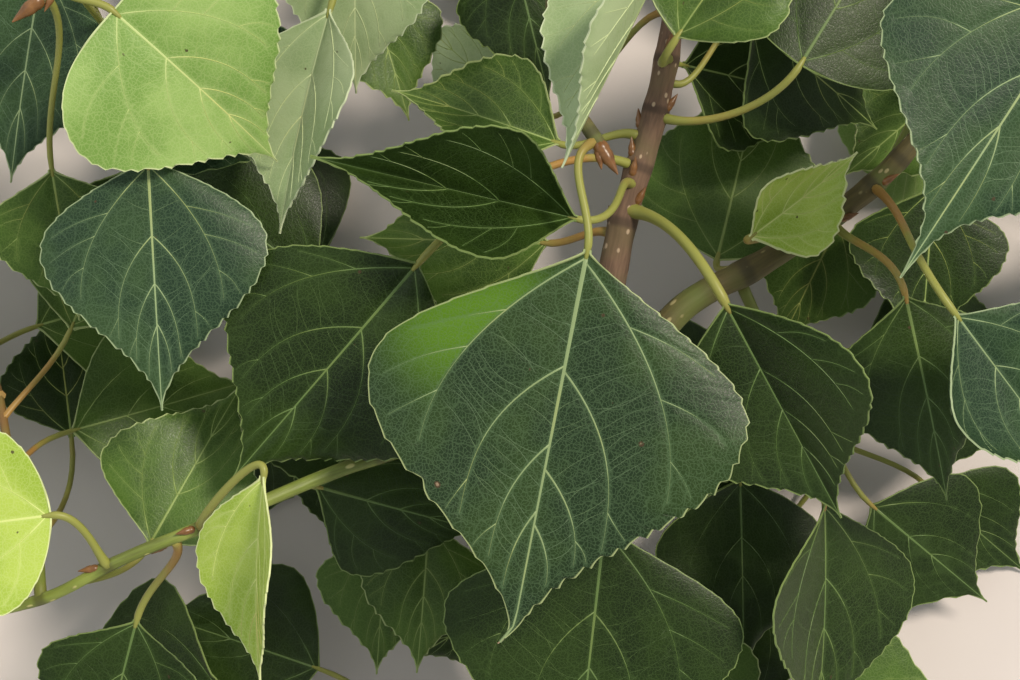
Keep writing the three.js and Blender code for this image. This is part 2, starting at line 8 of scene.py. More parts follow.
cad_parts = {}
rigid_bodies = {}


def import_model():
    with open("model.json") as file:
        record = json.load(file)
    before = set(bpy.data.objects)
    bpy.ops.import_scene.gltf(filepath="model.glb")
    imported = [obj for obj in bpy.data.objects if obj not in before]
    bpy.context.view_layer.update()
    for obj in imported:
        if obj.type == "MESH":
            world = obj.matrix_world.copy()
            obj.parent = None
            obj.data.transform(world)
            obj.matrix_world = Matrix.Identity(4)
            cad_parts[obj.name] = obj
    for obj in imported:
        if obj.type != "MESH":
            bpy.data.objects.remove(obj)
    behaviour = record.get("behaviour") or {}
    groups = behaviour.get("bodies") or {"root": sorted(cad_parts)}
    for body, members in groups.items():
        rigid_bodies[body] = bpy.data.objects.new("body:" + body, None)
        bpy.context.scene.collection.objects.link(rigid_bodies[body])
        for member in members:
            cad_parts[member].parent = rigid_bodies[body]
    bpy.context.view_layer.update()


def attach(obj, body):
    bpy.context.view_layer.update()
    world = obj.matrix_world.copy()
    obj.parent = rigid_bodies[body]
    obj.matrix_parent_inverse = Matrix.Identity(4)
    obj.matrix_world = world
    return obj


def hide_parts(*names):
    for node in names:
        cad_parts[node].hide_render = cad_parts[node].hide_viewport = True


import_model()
bpy.ops.object.select_all(action="DESELECT")

# The studio: a pale matt floor, a broad lamp far off to the right of the picture,
# a weak one to its left and an even pale sky. The camera looks straight down on
# the lying branch from 0.5 m above the big leaf, for the photograph's view of it.
METRE = 1000.0
MIDDLE = np.array([-5.0, 15.6, 0.0])  # middle of the branch, in the frame that its points are given in
BIG_LEAF_HEIGHT = 105.0
CAMERA_DISTANCE = 500.0
VIEW_WIDTH = 191.25  # at the big leaf
SENSOR = 36.0
NEAREST = 10.0  # that the camera shows
FLOOR_SIZE = 6000.0
MOTTLE_SIZE = 25.0
LAMPS = {  # each shines from a direction, since a sun lamp's distance doesn't count
    "key_lamp": {"from": (0.55, 0.42, 1.0), "strength": 2.9, "spread": 12, "colour": "#fff4e2"},
    "fill_lamp": {"from": (-0.8, 0.5, 0.9), "strength": 0.5, "spread": 60, "colour": "#eef4f8"},
}
SKY_STRENGTH = 0.62


def to_metres(points):
    """Points in millimetres about the middle of the photograph, as metres about the branch's own origin."""
    return (np.asarray(points, float) - MIDDLE) / METRE


def linear(colour):
    """An sRGB hex colour as linear red, green, blue and alpha."""
    parts = [int(colour[i : i + 2], 16) / 255 for i in (1, 3, 5)]
    return [c / 12.92 if c < 0.04045 else ((c + 0.055) / 1.055) ** 2.4 for c in parts] + [1.0]


def add(tree, kind, sockets=None, **settings):
    """A shader node with its settings. A socket takes a value, a hex colour, another socket or a whole node,
    which stands for its first output."""
    node = tree.nodes.new("ShaderNode" + kind)
    for name, value in settings.items():
        setattr(node, name, value)
    for socket, value in (sockets or {}).items():
        if isinstance(value, bpy.types.Node):
            value = value.outputs[0]
        if isinstance(value, bpy.types.NodeSocket):
            tree.links.new(value, node.inputs[socket])
        else:
            node.inputs[socket].default_value = linear(value) if isinstance(value, str) else value
    return node


MIX_A, MIX_B, MIX_OUT = 6, 7, 2  # the colour sockets of a Mix node


def coat(tree, under, over, measure, ends=(0.0, 1.0), shares=(0.0, 1.0), curve="LINEAR"):
    """A colour laid over another. Its share goes between two values as a measure goes between two ends."""
    span = {"From Min": ends[0], "From Max": ends[1], "To Min": shares[0], "To Max": shares[1]}
    share = add(tree, "MapRange", {"Value": measure, **span}, interpolation_type=curve)
    return add(tree, "Mix", {0: share, MIX_A: under, MIX_B: over}, data_type="RGBA").outputs[MIX_OUT]


def new_material(name):
    material = bpy.data.materials.new(name)
    material.use_nodes = True
    material.node_tree.nodes.clear()
    return material, material.node_tree


# Matt paper: even, with a trace of mottle.
paper, tree = new_material("matt_paper")
place = add(tree, "TexCoord").outputs["Object"]
mottle = add(tree, "TexNoise", {"Vector": place, "Scale": METRE / MOTTLE_SIZE, "Detail": 3.0})
shade = coat(tree, "#d6ccca", "#ddd4d1", mottle)
matt = add(tree, "BsdfPrincipled", {"Base Color": shade, "Roughness": 0.9})
add(tree, "OutputMaterial", {"Surface": matt})

bpy.ops.mesh.primitive_plane_add(size=FLOOR_SIZE / METRE, location=(0, 0, 0))
floor = bpy.context.object
floor.name = "floor"
floor.data.materials.append(paper)

camera = bpy.data.objects.new("camera", bpy.data.cameras.new("camera"))
bpy.context.collection.objects.link(camera)
camera.location = to_metres([0, 0, BIG_LEAF_HEIGHT + CAMERA_DISTANCE])
camera.data.sensor_width = SENSOR
camera.data.lens = SENSOR * CAMERA_DISTANCE / VIEW_WIDTH
camera.data.clip_start = NEAREST / METRE
bpy.context.scene.camera = camera

for name, lamp in LAMPS.items():
    light = bpy.data.lights.new(name, "SUN")
    light.energy = lamp["strength"]
    light.angle = math.radians(lamp["spread"])
    light.color = linear(lamp["colour"])[:3]
    holder = bpy.data.objects.new(name, light)
    bpy.context.collection.objects.link(holder)
    holder.location = lamp["from"]
    holder.rotation_euler = (-holder.location).to_track_quat("-Z", "Y").to_euler()

sky = bpy.data.worlds.new("even_sky")
bpy.context.scene.world = sky
sky.use_nodes = True
sky_light = sky.node_tree.nodes["Background"].inputs
sky_light["Color"].default_value = linear("#e8ece8")
sky_light["Strength"].default_value = SKY_STRENGTH
bpy.context.scene.view_settings.view_transform = "Standard"

# Stems: wood of two and three years in grey-brown and olive bark, and one shoot
# of this year that is still green. They are tapered rods that bend from bud to
# bud, thicker where a shoot or a leaf stalk leaves them.
GAP = 0.3  # between a stem and the foot of what grows on it
LIMBS = {
    "main_stem": {
        "radius": (4.6, 1.3),
        "points": [
            (-10, -196, 4.34), (-4, -150, 21), (4, -96, 40), (12, -42, 54), (18, -4, 60), (23, 24, 62),
            (30, 48, 62), (34, 72, 63), (37, 104, 61), (35, 132, 55), (40, 156, 44),
        ],
        "knots": (0.07, 0.15, 0.24, 0.3, 0.36, 0.42, 0.5, 0.545, 0.595, 0.64, 0.7, 0.755, 0.8, 0.86, 0.93),
        "bark": "grey",
    },
    "right_shoot": {
        "parent": ("main_stem", 0.36),
        "radius": (3.3, 1.1),
        "points": [
            (34, 5, 53), (54, 17, 51), (74, 31, 51), (87, 45, 53),
            (102, 65, 55), (114, 88, 52), (122, 110, 44),
        ],
        "knots": (0.25, 0.37, 0.44, 0.5, 0.62, 0.74, 0.86),
        "bark": "olive",
    },
    "left_shoot": {
        "parent": ("main_stem", 0.4),
        "radius": (1.7, 0.9),
        "points": [
            (-8, -17, 65), (-34, -26, 72), (-56, -35, 78), (-76, -43, 79),
            (-92, -51, 78), (-112, -56, 72), (-132, -60, 62),
        ],
        "knots": (0.12, 0.24, 0.46, 0.6, 0.72, 0.86),
        "bark": "green",
    },
    "upper_left_shoot": {
        "parent": ("main_stem", 0.7),
        "radius": (2.1, 1.2),
        "points": [(14, 92, 68), (-16, 101, 77), (-48, 94, 86), (-76, 77, 92), (-90, 65, 95)],
        "knots": (0.36, 0.5, 0.62, 0.8, 0.93),
        "bark": "olive",
    },
    "front_twig": {
        "parent": ("main_stem", 0.755),
        "radius": (1.7, 1.3),
        "points": [(24, 90, 78), (11, 78, 88), (8, 57, 95), (11, 47, 97), (17, 37, 99)],
        "knots": (0.3, 0.62, 0.94),
        "bark": "olive",
    },
}
UP = np.array([0.0, 0.0, 1.0])


def unit(v):
    return v / np.linalg.norm(v, axis=-1, keepdims=True)


def direction(heading, rise):
    """A unit vector from its heading in plan and its slope."""
    heading, rise = math.radians(heading), math.radians(rise)
    return np.array([math.cos(rise) * math.cos(heading), math.cos(rise) * math.sin(heading), math.sin(rise)])


def square_to(v, axis):
    """The part of a vector that is square to an axis, as a unit vector."""
    return unit(v - axis * np.dot(v, axis))


def turned(v, axis, degrees):
    """A vector square to an axis, turned about that axis."""
    return v * math.cos(math.radians(degrees)) + np.cross(axis, v) * math.sin(math.radians(degrees))


def along(points, u):
    """The point at a share u of a smooth curve through points, with its ends doubled."""
    last = len(points) - 1
    i = min(int(u * last), last - 1)
    x = u * last - i
    a, b, c, d = points[max(i - 1, 0)], points[i], points[i + 1], points[min(i + 2, last)]
    slope_b, slope_c = (c - a) / 2, (d - b) / 2
    bend = (3 * (c - b) - 2 * slope_b - slope_c) * x * x
    return b + slope_b * x + bend + (2 * (b - c) + slope_b + slope_c) * x**3


def heading_at(points, u, step=0.002):
    return unit(along(points, min(u + step, 1)) - along(points, max(u - step, 0)))


def radius_at(limb, u):
    return limb["radius"][0] + (limb["radius"][1] - limb["radius"][0]) * u


def foot_on(limb, u, target):
    """Where something that grows towards a point leaves a limb, and which way."""
    centre = along(limb["path"], u)
    axis = heading_at(limb["path"], u)
    if u == 1:
        return centre + axis * GAP, axis
    out = square_to(target - centre, axis)
    return centre + out * (radius_at(limb, u) + GAP), out


for limb in LIMBS.values():
    limb["path"] = [np.array(p, float) for p in limb["points"]]
    if "parent" in limb:
        parent, share = limb["parent"]
        foot, limb["out"] = foot_on(LIMBS[parent], share, limb["path"][0])
        limb["path"].insert(0, foot)
    limb["length"] = sum(np.linalg.norm(b - a) for a, b in zip(limb["path"], limb["path"][1:]))


def grid(name, columns, rows):
    """A flat grid, and the place of each of its points from -1 to 1 across and from 0 to 1 along."""
    bpy.ops.mesh.primitive_grid_add(x_subdivisions=columns, y_subdivisions=rows, size=2)
    piece = bpy.context.object
    piece.name = name
    flat = np.empty(len(piece.data.vertices) * 3)
    piece.data.vertices.foreach_get("co", flat)
    flat = flat.reshape(-1, 3)
    return piece, flat[:, 0].copy(), (flat[:, 1] + 1) / 2


def place_points(piece, points):
    piece.data.vertices.foreach_set("co", to_metres(points).astype(np.float32).ravel())
    piece.data.update()


def note_points(piece, name, values):
    """Keeps a number or a vector for every point of a piece, which its material reads."""
    kind, field = ("FLOAT_VECTOR", "vector") if np.ndim(values) > 1 else ("FLOAT", "value")
    layer = piece.data.attributes.new(name, kind, "POINT")
    layer.data.foreach_set(field, np.asarray(values, np.float32).ravel())


def close_mesh(smooth):
    """Ends the editing of a closed mesh: faces point outward, and edges blunter than an angle are smooth."""
    bpy.ops.mesh.select_all(action="SELECT")
    bpy.ops.mesh.normals_make_consistent(inside=False)
    bpy.ops.object.mode_set(mode="OBJECT")
    bpy.ops.object.shade_smooth_by_angle(angle=math.radians(smooth))


def finish_piece(piece, nodes, materials):
    """Rides a piece on the branch, with its finish and the CAD nodes that it stands for."""
    for material in materials:
        piece.data.materials.append(material)
    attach(piece, "root")
    if nodes:
        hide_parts(*nodes)
    piece.select_set(False)


MERGE = 0.005  # points of a stem's mesh that are nearer than this become one


def knot_distance(mm, knots):
    return np.abs(np.asarray(mm)[:, None] - np.asarray(knots)[None]).min(1)


def roll_stem(name, centres, axes, columns, length, knots, radii):
    """A grid rolled round a path into a closed rod. radii(mm, turn) gives the distance from the path."""
    rows = len(centres) - 1
    piece, across, share = grid(name, columns, rows)
    turn = np.pi * across
    step = np.rint(share * rows).astype(int)
    centre, axis = centres[step], axes[step]
    start = square_to(UP, axes[rows // 2])
    normal = unit(start - axis * (axis @ start)[:, None])
    side = np.cross(axis, normal)
    along_mm = share * length
    reach = radii(along_mm, turn)[:, None]
    spoke = side * np.sin(turn)[:, None] - normal * np.cos(turn)[:, None]
    place_points(piece, centre + spoke * reach)
    round_mm = reach.mean() * np.stack([np.sin(turn), 0 * turn, np.cos(turn)], 1)
    round_mm[:, 1] = along_mm
    note_points(piece, "stem_mm", round_mm)
    note_points(piece, "knot_mm", knot_distance(along_mm, knots))
    bpy.ops.object.mode_set(mode="EDIT")
    bpy.ops.mesh.select_all(action="SELECT")
    bpy.ops.mesh.remove_doubles(threshold=MERGE / METRE)
    bpy.ops.mesh.select_all(action="DESELECT")
    bpy.ops.mesh.select_non_manifold()
    bpy.ops.mesh.edge_face_add()
    close_mesh(smooth=60)
    return piece


# Bark: matt and finely cracked along the stem, with pale corky lenticels about
# 1.5 mm long, darker rings where buds and leaf stalks sit, and greener patches.
CRACK = (0.625, 6.25)  # mm between cracks, across and along the stem
LENTICEL_GAP = (2.38, 5.0)
GREEN_PATCH = 16.7
LENTICEL_EDGE = (0.12, 0.2)  # how far out a lenticel starts to fade and ends, as shares of that gap
KNOT_RING = (0.5, 2.2)  # and the dark ring at a knot, in mm along the stem
GREEN_BETWEEN = (0.45, 0.65)  # values of the patches' noise between which the green comes in
BARK_RELIEF = 0.3
SOFT = "SMOOTHSTEP"


def per_mm(cell):
    """The scale of a pattern whose cells have one size across a stem and another along it."""
    return 1 / cell[0], 1 / cell[1], 1 / cell[0]


def bark_skin(name, dark, pale, green, lenticel, roughness):
    material, tree = new_material(name)
    spot = add(tree, "Attribute", attribute_name="stem_mm").outputs["Vector"]
    knot_mm = add(tree, "Attribute", attribute_name="knot_mm").outputs["Fac"]
    crack_spot = add(tree, "Mapping", {"Vector": spot, "Scale": per_mm(CRACK)})
    cracks = add(tree, "TexNoise", {"Vector": crack_spot, "Scale": 1.0, "Detail": 5.0})
    patches = add(tree, "TexNoise", {"Vector": spot, "Scale": 1 / GREEN_PATCH, "Detail": 2.0})
    lenticel_spot = add(tree, "Mapping", {"Vector": spot, "Scale": per_mm(LENTICEL_GAP)})
    cells = add(tree, "TexVoronoi", {"Vector": lenticel_spot, "Scale": 1.0})
    edge = {"From Min": LENTICEL_EDGE[0], "From Max": LENTICEL_EDGE[1], "To Min": 1.0, "To Max": 0.0}
    dots = add(tree, "MapRange", {"Value": cells, **edge})
    colour = coat(tree, dark, pale, cracks)
    colour = coat(tree, colour, green, patches, GREEN_BETWEEN)
    colour = coat(tree, colour, dark, knot_mm, KNOT_RING, shares=(0.7, 0.0), curve=SOFT)
    colour = coat(tree, colour, lenticel, dots)
    height = add(tree, "Math", {0: cracks, 1: dots}, operation="ADD")
    bump = add(tree, "Bump", {"Height": height, "Strength": 0.5, "Distance": BARK_RELIEF / METRE})
    bark = add(tree, "BsdfPrincipled", {"Base Color": colour, "Roughness": roughness, "Normal": bump})
    add(tree, "OutputMaterial", {"Surface": bark})
    return material


BARKS = {
    "grey": bark_skin("poplar_bark", "#3f3026", "#8a6d58", "#6c5f42", "#b09a80", 0.85),
    "olive": bark_skin("second_year_poplar_bark", "#3d3720", "#716539", "#5f6a30", "#a3986a", 0.7),
    "green": bark_skin("green_poplar_bark", "#4a4a20", "#7d8f3a", "#93a04a", "#b3b070", 0.5),
}

RING_SPACING = 1.1  # mm between the rings of a stem's mesh
STEM_SIDES = 18
THICK_STEM_SIDES = 30
THICK_STEM = 3.0  # mm, radius from which a stem has more sides
FOOT_SUNK = 0.7  # share of the parent's radius that a shoot starts inside it
KNOT_SWELL = 0.1
KNOT_REACH = 3.2
COLLAR = 0.5  # how much thicker a shoot starts
COLLAR_FADE = 4.0
BARK_SHARE = 0.97  # the bark's own radius, so that its swellings stay near the stem's size
RIDGES_ROUND = 2.6  # about how many ridges stand side by side in the radius of a stem
RIDGE_LENGTH = 6.0
RIDGE_HEIGHT = {"grey": 0.2, "olive": 0.12, "green": 0.04}

for name, limb in LIMBS.items():
    length = limb["length"]
    shares = np.linspace(0, 1, int(length / RING_SPACING) + 1)
    centres = np.array([along(limb["path"], u) for u in shares])
    axes = np.array([heading_at(limb["path"], u) for u in shares])
    collar = 0
    if "parent" in limb:
        parent, at = limb["parent"]
        centres[0] = centres[0] - limb["out"] * radius_at(LIMBS[parent], at) * FOOT_SUNK
        axes[0] = limb["out"]
        collar = COLLAR
    knots = np.array(limb["knots"]) * length
    thick, thin = limb["radius"]

    def bark_radius(mm, turn):
        swell = KNOT_SWELL * np.exp(-((knot_distance(mm, knots) / KNOT_REACH) ** 2))
        around = zip(np.cos(turn) * RIDGES_ROUND, np.sin(turn) * RIDGES_ROUND, mm / RIDGE_LENGTH + length)
        ridges = np.array([noise.noise(Vector(spot)) for spot in around])
        girth = (thick + (thin - thick) * mm / length) * BARK_SHARE
        return girth * (1 + swell + collar * np.exp(-mm / COLLAR_FADE)) + RIDGE_HEIGHT[limb["bark"]] * ridges

    sides = THICK_STEM_SIDES if thick > THICK_STEM else STEM_SIDES
    piece = roll_stem(name + "_bark", centres, axes, sides, length, knots, bark_radius)
    finish_piece(piece, [name], [BARKS[limb["bark"]]])

# The leaves that show from above, each hung from its stem by a stalk. A blade
# is rhombic with a drawn-out tip: leathery, 0.35 mm thick, with round teeth.
# It is a flat grid laid on a bent surface, with its veins laid in it.
THICKNESS = 0.35  # of a blade

# A row holds the limb and where the stalk leaves it; the base of the blade, the
# heading of its midrib, its slope and the turn about it; the length, and as
# shares of it the half width and where the blade is widest; how its right and
# left halves fold and curl, how far the tip droops, the ripple and the tone.
# The deep and bright tones are painted shade and painted sunlight.
LEAF_VALUES = (
    "limb", "at", "base", "heading", "rise", "roll",
    "length", "width", "shoulder", "fold", "curl", "droop", "ripple", "tone",
)
LEAF_ROWS = {
    "leaf_centre": ("front_twig", 0.97, (14.6, 17, 103), -101, -3, 3,
        77, 0.475, 0.37, (4, 2), (-10, -14), 4, 1.2, "main"),
    "leaf_top_left": ("upper_left_shoot", 0.93, (-76, 63, 94), -41, -2, -4,
        46, 0.54, 0.3, (2, 14), (-8, -14), 46, 1, "bright"),
    "leaf_left": ("upper_left_shoot", 0.8, (-70.7, 35, 84), -87, 0, -4,
        49, 0.46, 0.34, (-6, 12), (-10, -26), 6, 0.8, "glaucous"),
    "leaf_left_edge_on": ("upper_left_shoot", 0.5, (-36, 66, 72), -106, 6, 44,
        46, 0.4, 0.36, (16, 16), (0, 0), 10, 0.8, "pale"),
    "leaf_mid_folded": ("main_stem", 0.53, (13, 23.5, 88), 167, 0, 0,
        53, 0.38, 0.3, (46, 50), (12, 12), -8, 0.8, "deep"),
    "leaf_left_dark": ("main_stem", 0.545, (-18, 15, 82), -131, -6, -4,
        58, 0.45, 0.4, (4, 8), (-10, -34), 8, 0.8, "deep"),
    "leaf_top_rolled": ("front_twig", 0.3, (28.8, 71.5, 111), -116, 0, 66,
        44, 0.4, 0.36, (34, 34), (34, 34), 0, 0.4, "pale"),
    "leaf_top_right_small": ("main_stem", 0.64, (32, 58, 94), 56, 4, -30,
        40, 0.42, 0.3, (14, 24), (-60, 10), 10, 0.6, "mid"),
    "leaf_top_right_dark": ("main_stem", 0.59, (58, 55, 72), 58, -4, 4,
        46, 0.48, 0.26, (-4, -4), (-14, -14), 10, 1, "deep"),
    "leaf_right_large": ("right_shoot", 0.86, (108, 66, 109), -123, 3, 0,
        65, 0.46, 0.36, (8, 8), (-12, -12), 6, 1.2, "glaucous"),
    "leaf_right_curled": ("right_shoot", 0.44, (85, 5, 96), -52, -8, 10,
        44, 0.46, 0.32, (30, 4), (70, -20), 10, 0.6, "glaucous"),
    "leaf_right_dark": ("right_shoot", 0.37, (79, 9, 72), -76, -8, -6,
        44, 0.44, 0.34, (-6, -6), (-10, -10), 10, 0.8, "deep"),
    "leaf_right_mid": ("main_stem", 0.51, (42, 7, 86), -61, -8, 4,
        50, 0.46, 0.4, (0, 46), (-8, -10), 10, 0.8, "deep"),
    "leaf_bottom_mid": ("main_stem", 0.38, (19, -37, 70), -96, -6, 0,
        62, 0.49, 0.32, (4, 4), (-12, -12), 12, 0.8, "deep"),
    "leaf_bottom_right": ("main_stem", 0.34, (64, -33, 62), -87, -6, -46,
        54, 0.44, 0.34, (10, 14), (10, 0), 12, 0.8, "deep"),
    # This leaf's young yellow-green is painted sunlight.
    "leaf_low_left_edge_on": ("left_shoot", 0.46, (-47, -26, 96), -97, -6, 56,
        41, 0.4, 0.4, (20, 20), (0, 0), 12, 0.6, "young"),
    "leaf_left_young": ("left_shoot", 0.6, (-89, -34, 88), -173, 0, 10,
        40, 0.46, 0.28, (6, 10), (-10, -10), 10, 0.6, "young"),
    "leaf_low_mid_dark": ("left_shoot", 0.24, (-40, -30, 58), -16, -8, 0,
        38, 0.42, 0.32, (-4, -4), (-12, -12), 10, 0.6, "deep"),
    "leaf_low_mid_small": ("left_shoot", 0.12, (-17, -38, 46), -94, -9, -10,
        34, 0.4, 0.34, (8, 8), (-12, -12), 10, 0.6, "mid"),
    "leaf_top_mid": ("upper_left_shoot", 0.36, (-31, 84, 70), -92, -16, 8,
        36, 0.42, 0.34, (6, 6), (-16, -16), 12, 0.6, "pale"),
    "leaf_back_upper": ("main_stem", 0.57, (10, 40, 62), 160, 2, 24,
        36, 0.4, 0.34, (20, 20), (24, 24), 10, 0.6, "mid"),
    "leaf_back_lower": ("main_stem", 0.49, (8, 20, 54), 178, -4, 0,
        40, 0.46, 0.34, (-4, -4), (-12, -12), 10, 0.6, "mid"),
    "leaf_back_right": ("right_shoot", 0.25, (44, 17, 38), 76, -6, 0,
        46, 0.48, 0.3, (-4, -4), (-12, -12), 10, 1, "mid"),
    "leaf_back_right_young": ("right_shoot", 0.32, (49, 21, 60), 36, 6, 26,
        28, 0.42, 0.34, (20, 20), (30, 30), 10, 0.8, "young"),
    "leaf_top_centre": ("main_stem", 0.74, (0, 82, 58), -76, 0, 0,
        34, 0.42, 0.34, (-4, -4), (-16, -16), 10, 0.6, "deep"),
    "leaf_far_left": ("upper_left_shoot", 0.86, (-94, 76, 68), -102, -8, 8,
        46, 0.44, 0.34, (4, 4), (-14, -14), 12, 0.6, "glaucous"),
    "leaf_bottom_left": ("left_shoot", 0.5, (-76, -57, 62), -106, -12, 0,
        40, 0.44, 0.34, (4, 4), (-14, -14), 12, 0.6, "deep"),
}
LEAVES = {name: dict(zip(LEAF_VALUES, row)) for name, row in LEAF_ROWS.items()}

# Side veins on a half of a blade, from the stalk on: where each leaves the
# midrib and where it ends, as shares of the length, how far out it ends, as a
# share of the half width there, and how strongly it bows.
SIDE_VEINS = (
    (0.02, 0.55, 0.8, 2.0),
    (0.29, 0.7, 0.8, 2.8),
    (0.48, 0.78, 0.76, 2.6),
    (0.65, 0.85, 0.7, 2.4),
    (0.79, 0.9, 0.56, 2.2),
)
BIG_LEAF_LEFT_VEINS = (
    (0.03, 0.57, 0.84, 2.0),
    (0.3, 0.72, 0.82, 2.7),
    (0.55, 0.78, 0.74, 2.2),
    (0.69, 0.84, 0.68, 2.2),
    (0.8, 0.9, 0.56, 2.0),
)

# How fast a blade widens and narrows differs from leaf to leaf. The big leaf
# also has larger teeth on its left side, a nick in its right one, a hooked tip,
# a yellow-green patch of painted backlight, and a margin that rolls up in two places.
OWN_VALUES = {
    "leaf_centre": {
        "teeth": ((7.2, 3.9), (0.6, 1.15)),
        "nicks": ((-1, 0.64, 0.013, 1.1),),  # side, share of the length, how long and how deep
        "rolled": ((1, 0.42, 0.07, 1.2), (-1, 0.2, 0.12, 0.7)),  # the same, and how high
        "flecks": ((17.0, 34.0, 0.5), (-19.6, 49.2, 0.6), (0.0, 77.0, 1.2)),  # across, along and radius
        "hook": -2.4,
        "backlight_patch": (-20, 15.5, 15.5),  # painted backlight: middle, across and along, and its reach
        "left_veins": BIG_LEAF_LEFT_VEINS,
    },
    "leaf_top_left": {"flare": 0.3},
    "leaf_left": {"flare": 0.9},
    "leaf_left_dark": {"flare": 0.9},
    "leaf_top_right_small": {"flare": 0.8},
    "leaf_top_right_dark": {"flare": 0.5},
    "leaf_right_large": {"fall": 3.4},
    "leaf_right_mid": {"flare": 0.9, "stalk": 1.1},
    "leaf_left_young": {"flare": 0.5},
    "leaf_back_right": {"flare": 0.8},
}
for name, own in OWN_VALUES.items():
    LEAVES[name].update(own)

FLARE = 1.2  # how slowly most blades widen from the stalk, as the power of a sine
FALL = 2.1  # and how fast they narrow to the tip, as the power of a cosine
DRIP_TIP = 0.022  # half width that the drawn-out tip adds, as a share of the length
STALK_END = 0.62  # the least half width of a blade at its stalk
TIP_END = 0.12  # and at its tip
STALK_RADIUS = 0.85  # of the solids, whose blades are nowhere narrower
STALK_HANDLES = (0.3, 0.35)  # of a stalk's curve at its two ends, as shares of its reach
RIPPLE_WAVES = 1.6  # along a blade
RIPPLE_PHASE = (1.0, 2.6)  # radians, on the right and left halves
RIPPLE_END = 5.0  # ripples die out over the last fifth of the length
CURL_STEPS = 6  # from the midrib out to a point
HOOK_FROM = 0.93  # share of the length where a hooked tip begins to turn aside
HOOK_LIFT = 0.4  # how far it lifts, as a share of how far it turns aside


def thin_end(s):
    """The least half width of a blade at shares s of its length."""
    return (STALK_END - TIP_END) * (1 - s) + TIP_END


def half_width(leaf, s):
    """Half the width of a blade at shares s of its length, as a share of that length."""
    shoulder = leaf["shoulder"]
    rising = leaf["width"] * np.sin(np.pi / 2 * np.minimum(s / shoulder, 1)) ** leaf.get("flare", FLARE)
    x = np.clip((s - shoulder) / (1 - shoulder), 0, 1)
    falling = leaf["width"] * np.cos(np.pi / 2 * x) ** leaf.get("fall", FALL) + DRIP_TIP * np.sin(np.pi * x)
    return np.where(s < shoulder, rising, falling)


def half_width_at(leaf, s):
    return float(half_width(leaf, np.array([s]))[0])


def blade_axes(leaf):
    """Axes at the base of a blade: along the midrib, out of the upper side, and towards its left hand."""
    ahead = direction(leaf["heading"], leaf["rise"])
    normal = turned(square_to(UP, ahead), ahead, leaf["roll"])
    return ahead, normal, np.cross(normal, ahead)


def blade_surface(leaf, s, v, least=STALK_RADIUS):
    """Points of a blade, the way its upper side faces, and the ways out to the margin and on to the tip."""
    ahead, normal, side = blade_axes(leaf)
    length = leaf["length"]
    bend = math.radians(leaf["droop"]) or 1e-6  # so that a straight blade has a radius too
    turn = (bend * s)[:, None]
    up = normal * np.cos(turn) + ahead * np.sin(turn)
    onward = ahead * np.cos(turn) - normal * np.sin(turn)
    middle = np.array(leaf["base"], float) + ahead * length * np.sin(turn) / bend
    middle = middle - normal * length * (1 - np.cos(turn)) / bend
    hook = leaf.get("hook", 0) * (np.clip((s - HOOK_FROM) / (1 - HOOK_FROM), 0, 1) ** 2)[:, None]
    middle = middle + side * hook + normal * abs(hook) * HOOK_LIFT
    left, reach = v > 0, np.abs(v)
    fold = np.where(left, leaf["fold"][1], leaf["fold"][0])
    curl = np.where(left, leaf["curl"][1], leaf["curl"][0])
    steps = reach[:, None] * (np.arange(CURL_STEPS) + 0.5) / CURL_STEPS
    angles = np.radians(fold[:, None] + curl[:, None] * steps**2)
    out = (np.cos(angles).mean(1) * reach)[:, None]
    rise = np.sin(angles).mean(1) * reach
    wide = np.maximum(length * half_width(leaf, s), least)
    phase = np.where(left, RIPPLE_PHASE[1], RIPPLE_PHASE[0])
    wave = np.sin(2 * np.pi * RIPPLE_WAVES * s + phase) * np.minimum(1, RIPPLE_END * (1 - s))
    lift = wide * rise + leaf["ripple"] * v * v * wave
    hand = np.sign(v)[:, None]
    point = middle + side * hand * wide[:, None] * out + up * lift[:, None]
    edge = angles[:, -1:]
    face = up * np.cos(edge) - side * hand * np.sin(edge)
    outward = side * hand * np.cos(edge) + up * np.sin(edge)
    return point, face, outward, onward


def stalk_point(leaf, u):
    """Points on the centre line of a leaf's stalk, from its foot to the base of the blade."""
    ahead = blade_axes(leaf)[0]
    base, foot = np.array(leaf["base"], float), leaf["foot"]
    reach = np.linalg.norm(base - foot)
    a = foot + leaf["out"] * STALK_HANDLES[0] * reach
    b = base - ahead * STALK_HANDLES[1] * reach
    u = np.asarray(u, float)[:, None]
    return foot * (1 - u) ** 3 + a * 3 * u * (1 - u) ** 2 + b * 3 * u * u * (1 - u) + base * u**3


# Veins: a midrib that runs on from the stalk, side veins that leave it in pairs
# and bow towards the tip, branches off them to the teeth, and rungs between
# them. They stand a little proud of both faces of the blade.
MIDRIB, SIDE, BRANCH, RUNG = range(4)  # ranks of veins
PLAIN, BRANCHED, NETTED = 1, 2, 3  # how fine the veins of a leaf go
VEIN_STEPS = 10
NETTED_VEIN_STEPS = 24
MIDRIB_END = 0.995
FEW_SIDE_VEINS = 3  # on a plain leaf, and how many have branches or rungs on any leaf
VEIN_STRAY = 0.012  # how far a side vein may stray along the midrib, as a share of the length
VEIN_REACH = (0.94, 1.04)  # how far out it goes, as shares of its usual reach
STALK_VEINS = 0.1  # a side vein that leaves the midrib before this share of its length keeps its start
SIDE_VEINS_END = 0.94
NARROW = 0.055  # half the width where side veins stop, as a share of the length
BRANCHES = ((0.3, 0.07), (0.52, 0.07), (0.76, 0.06))  # where along a vein, and how far on it ends
BRANCH_STRAY = 0.05
BRANCH_RUN = (1.2, 0.15)  # times that on the lowest vein, and how much less on each one above it
BRANCH_EXTRA = (0, 0.03)
BRANCHES_END = 0.93  # the share of the length, and of the half width, that no branch passes
SHORTEST_BRANCH = 0.01
BRANCH_SAG = (-0.12, 0.02)
RUNG_SPACING = 3.6
RUNGS_TO = 0.6  # of a side vein's length: past this it branches
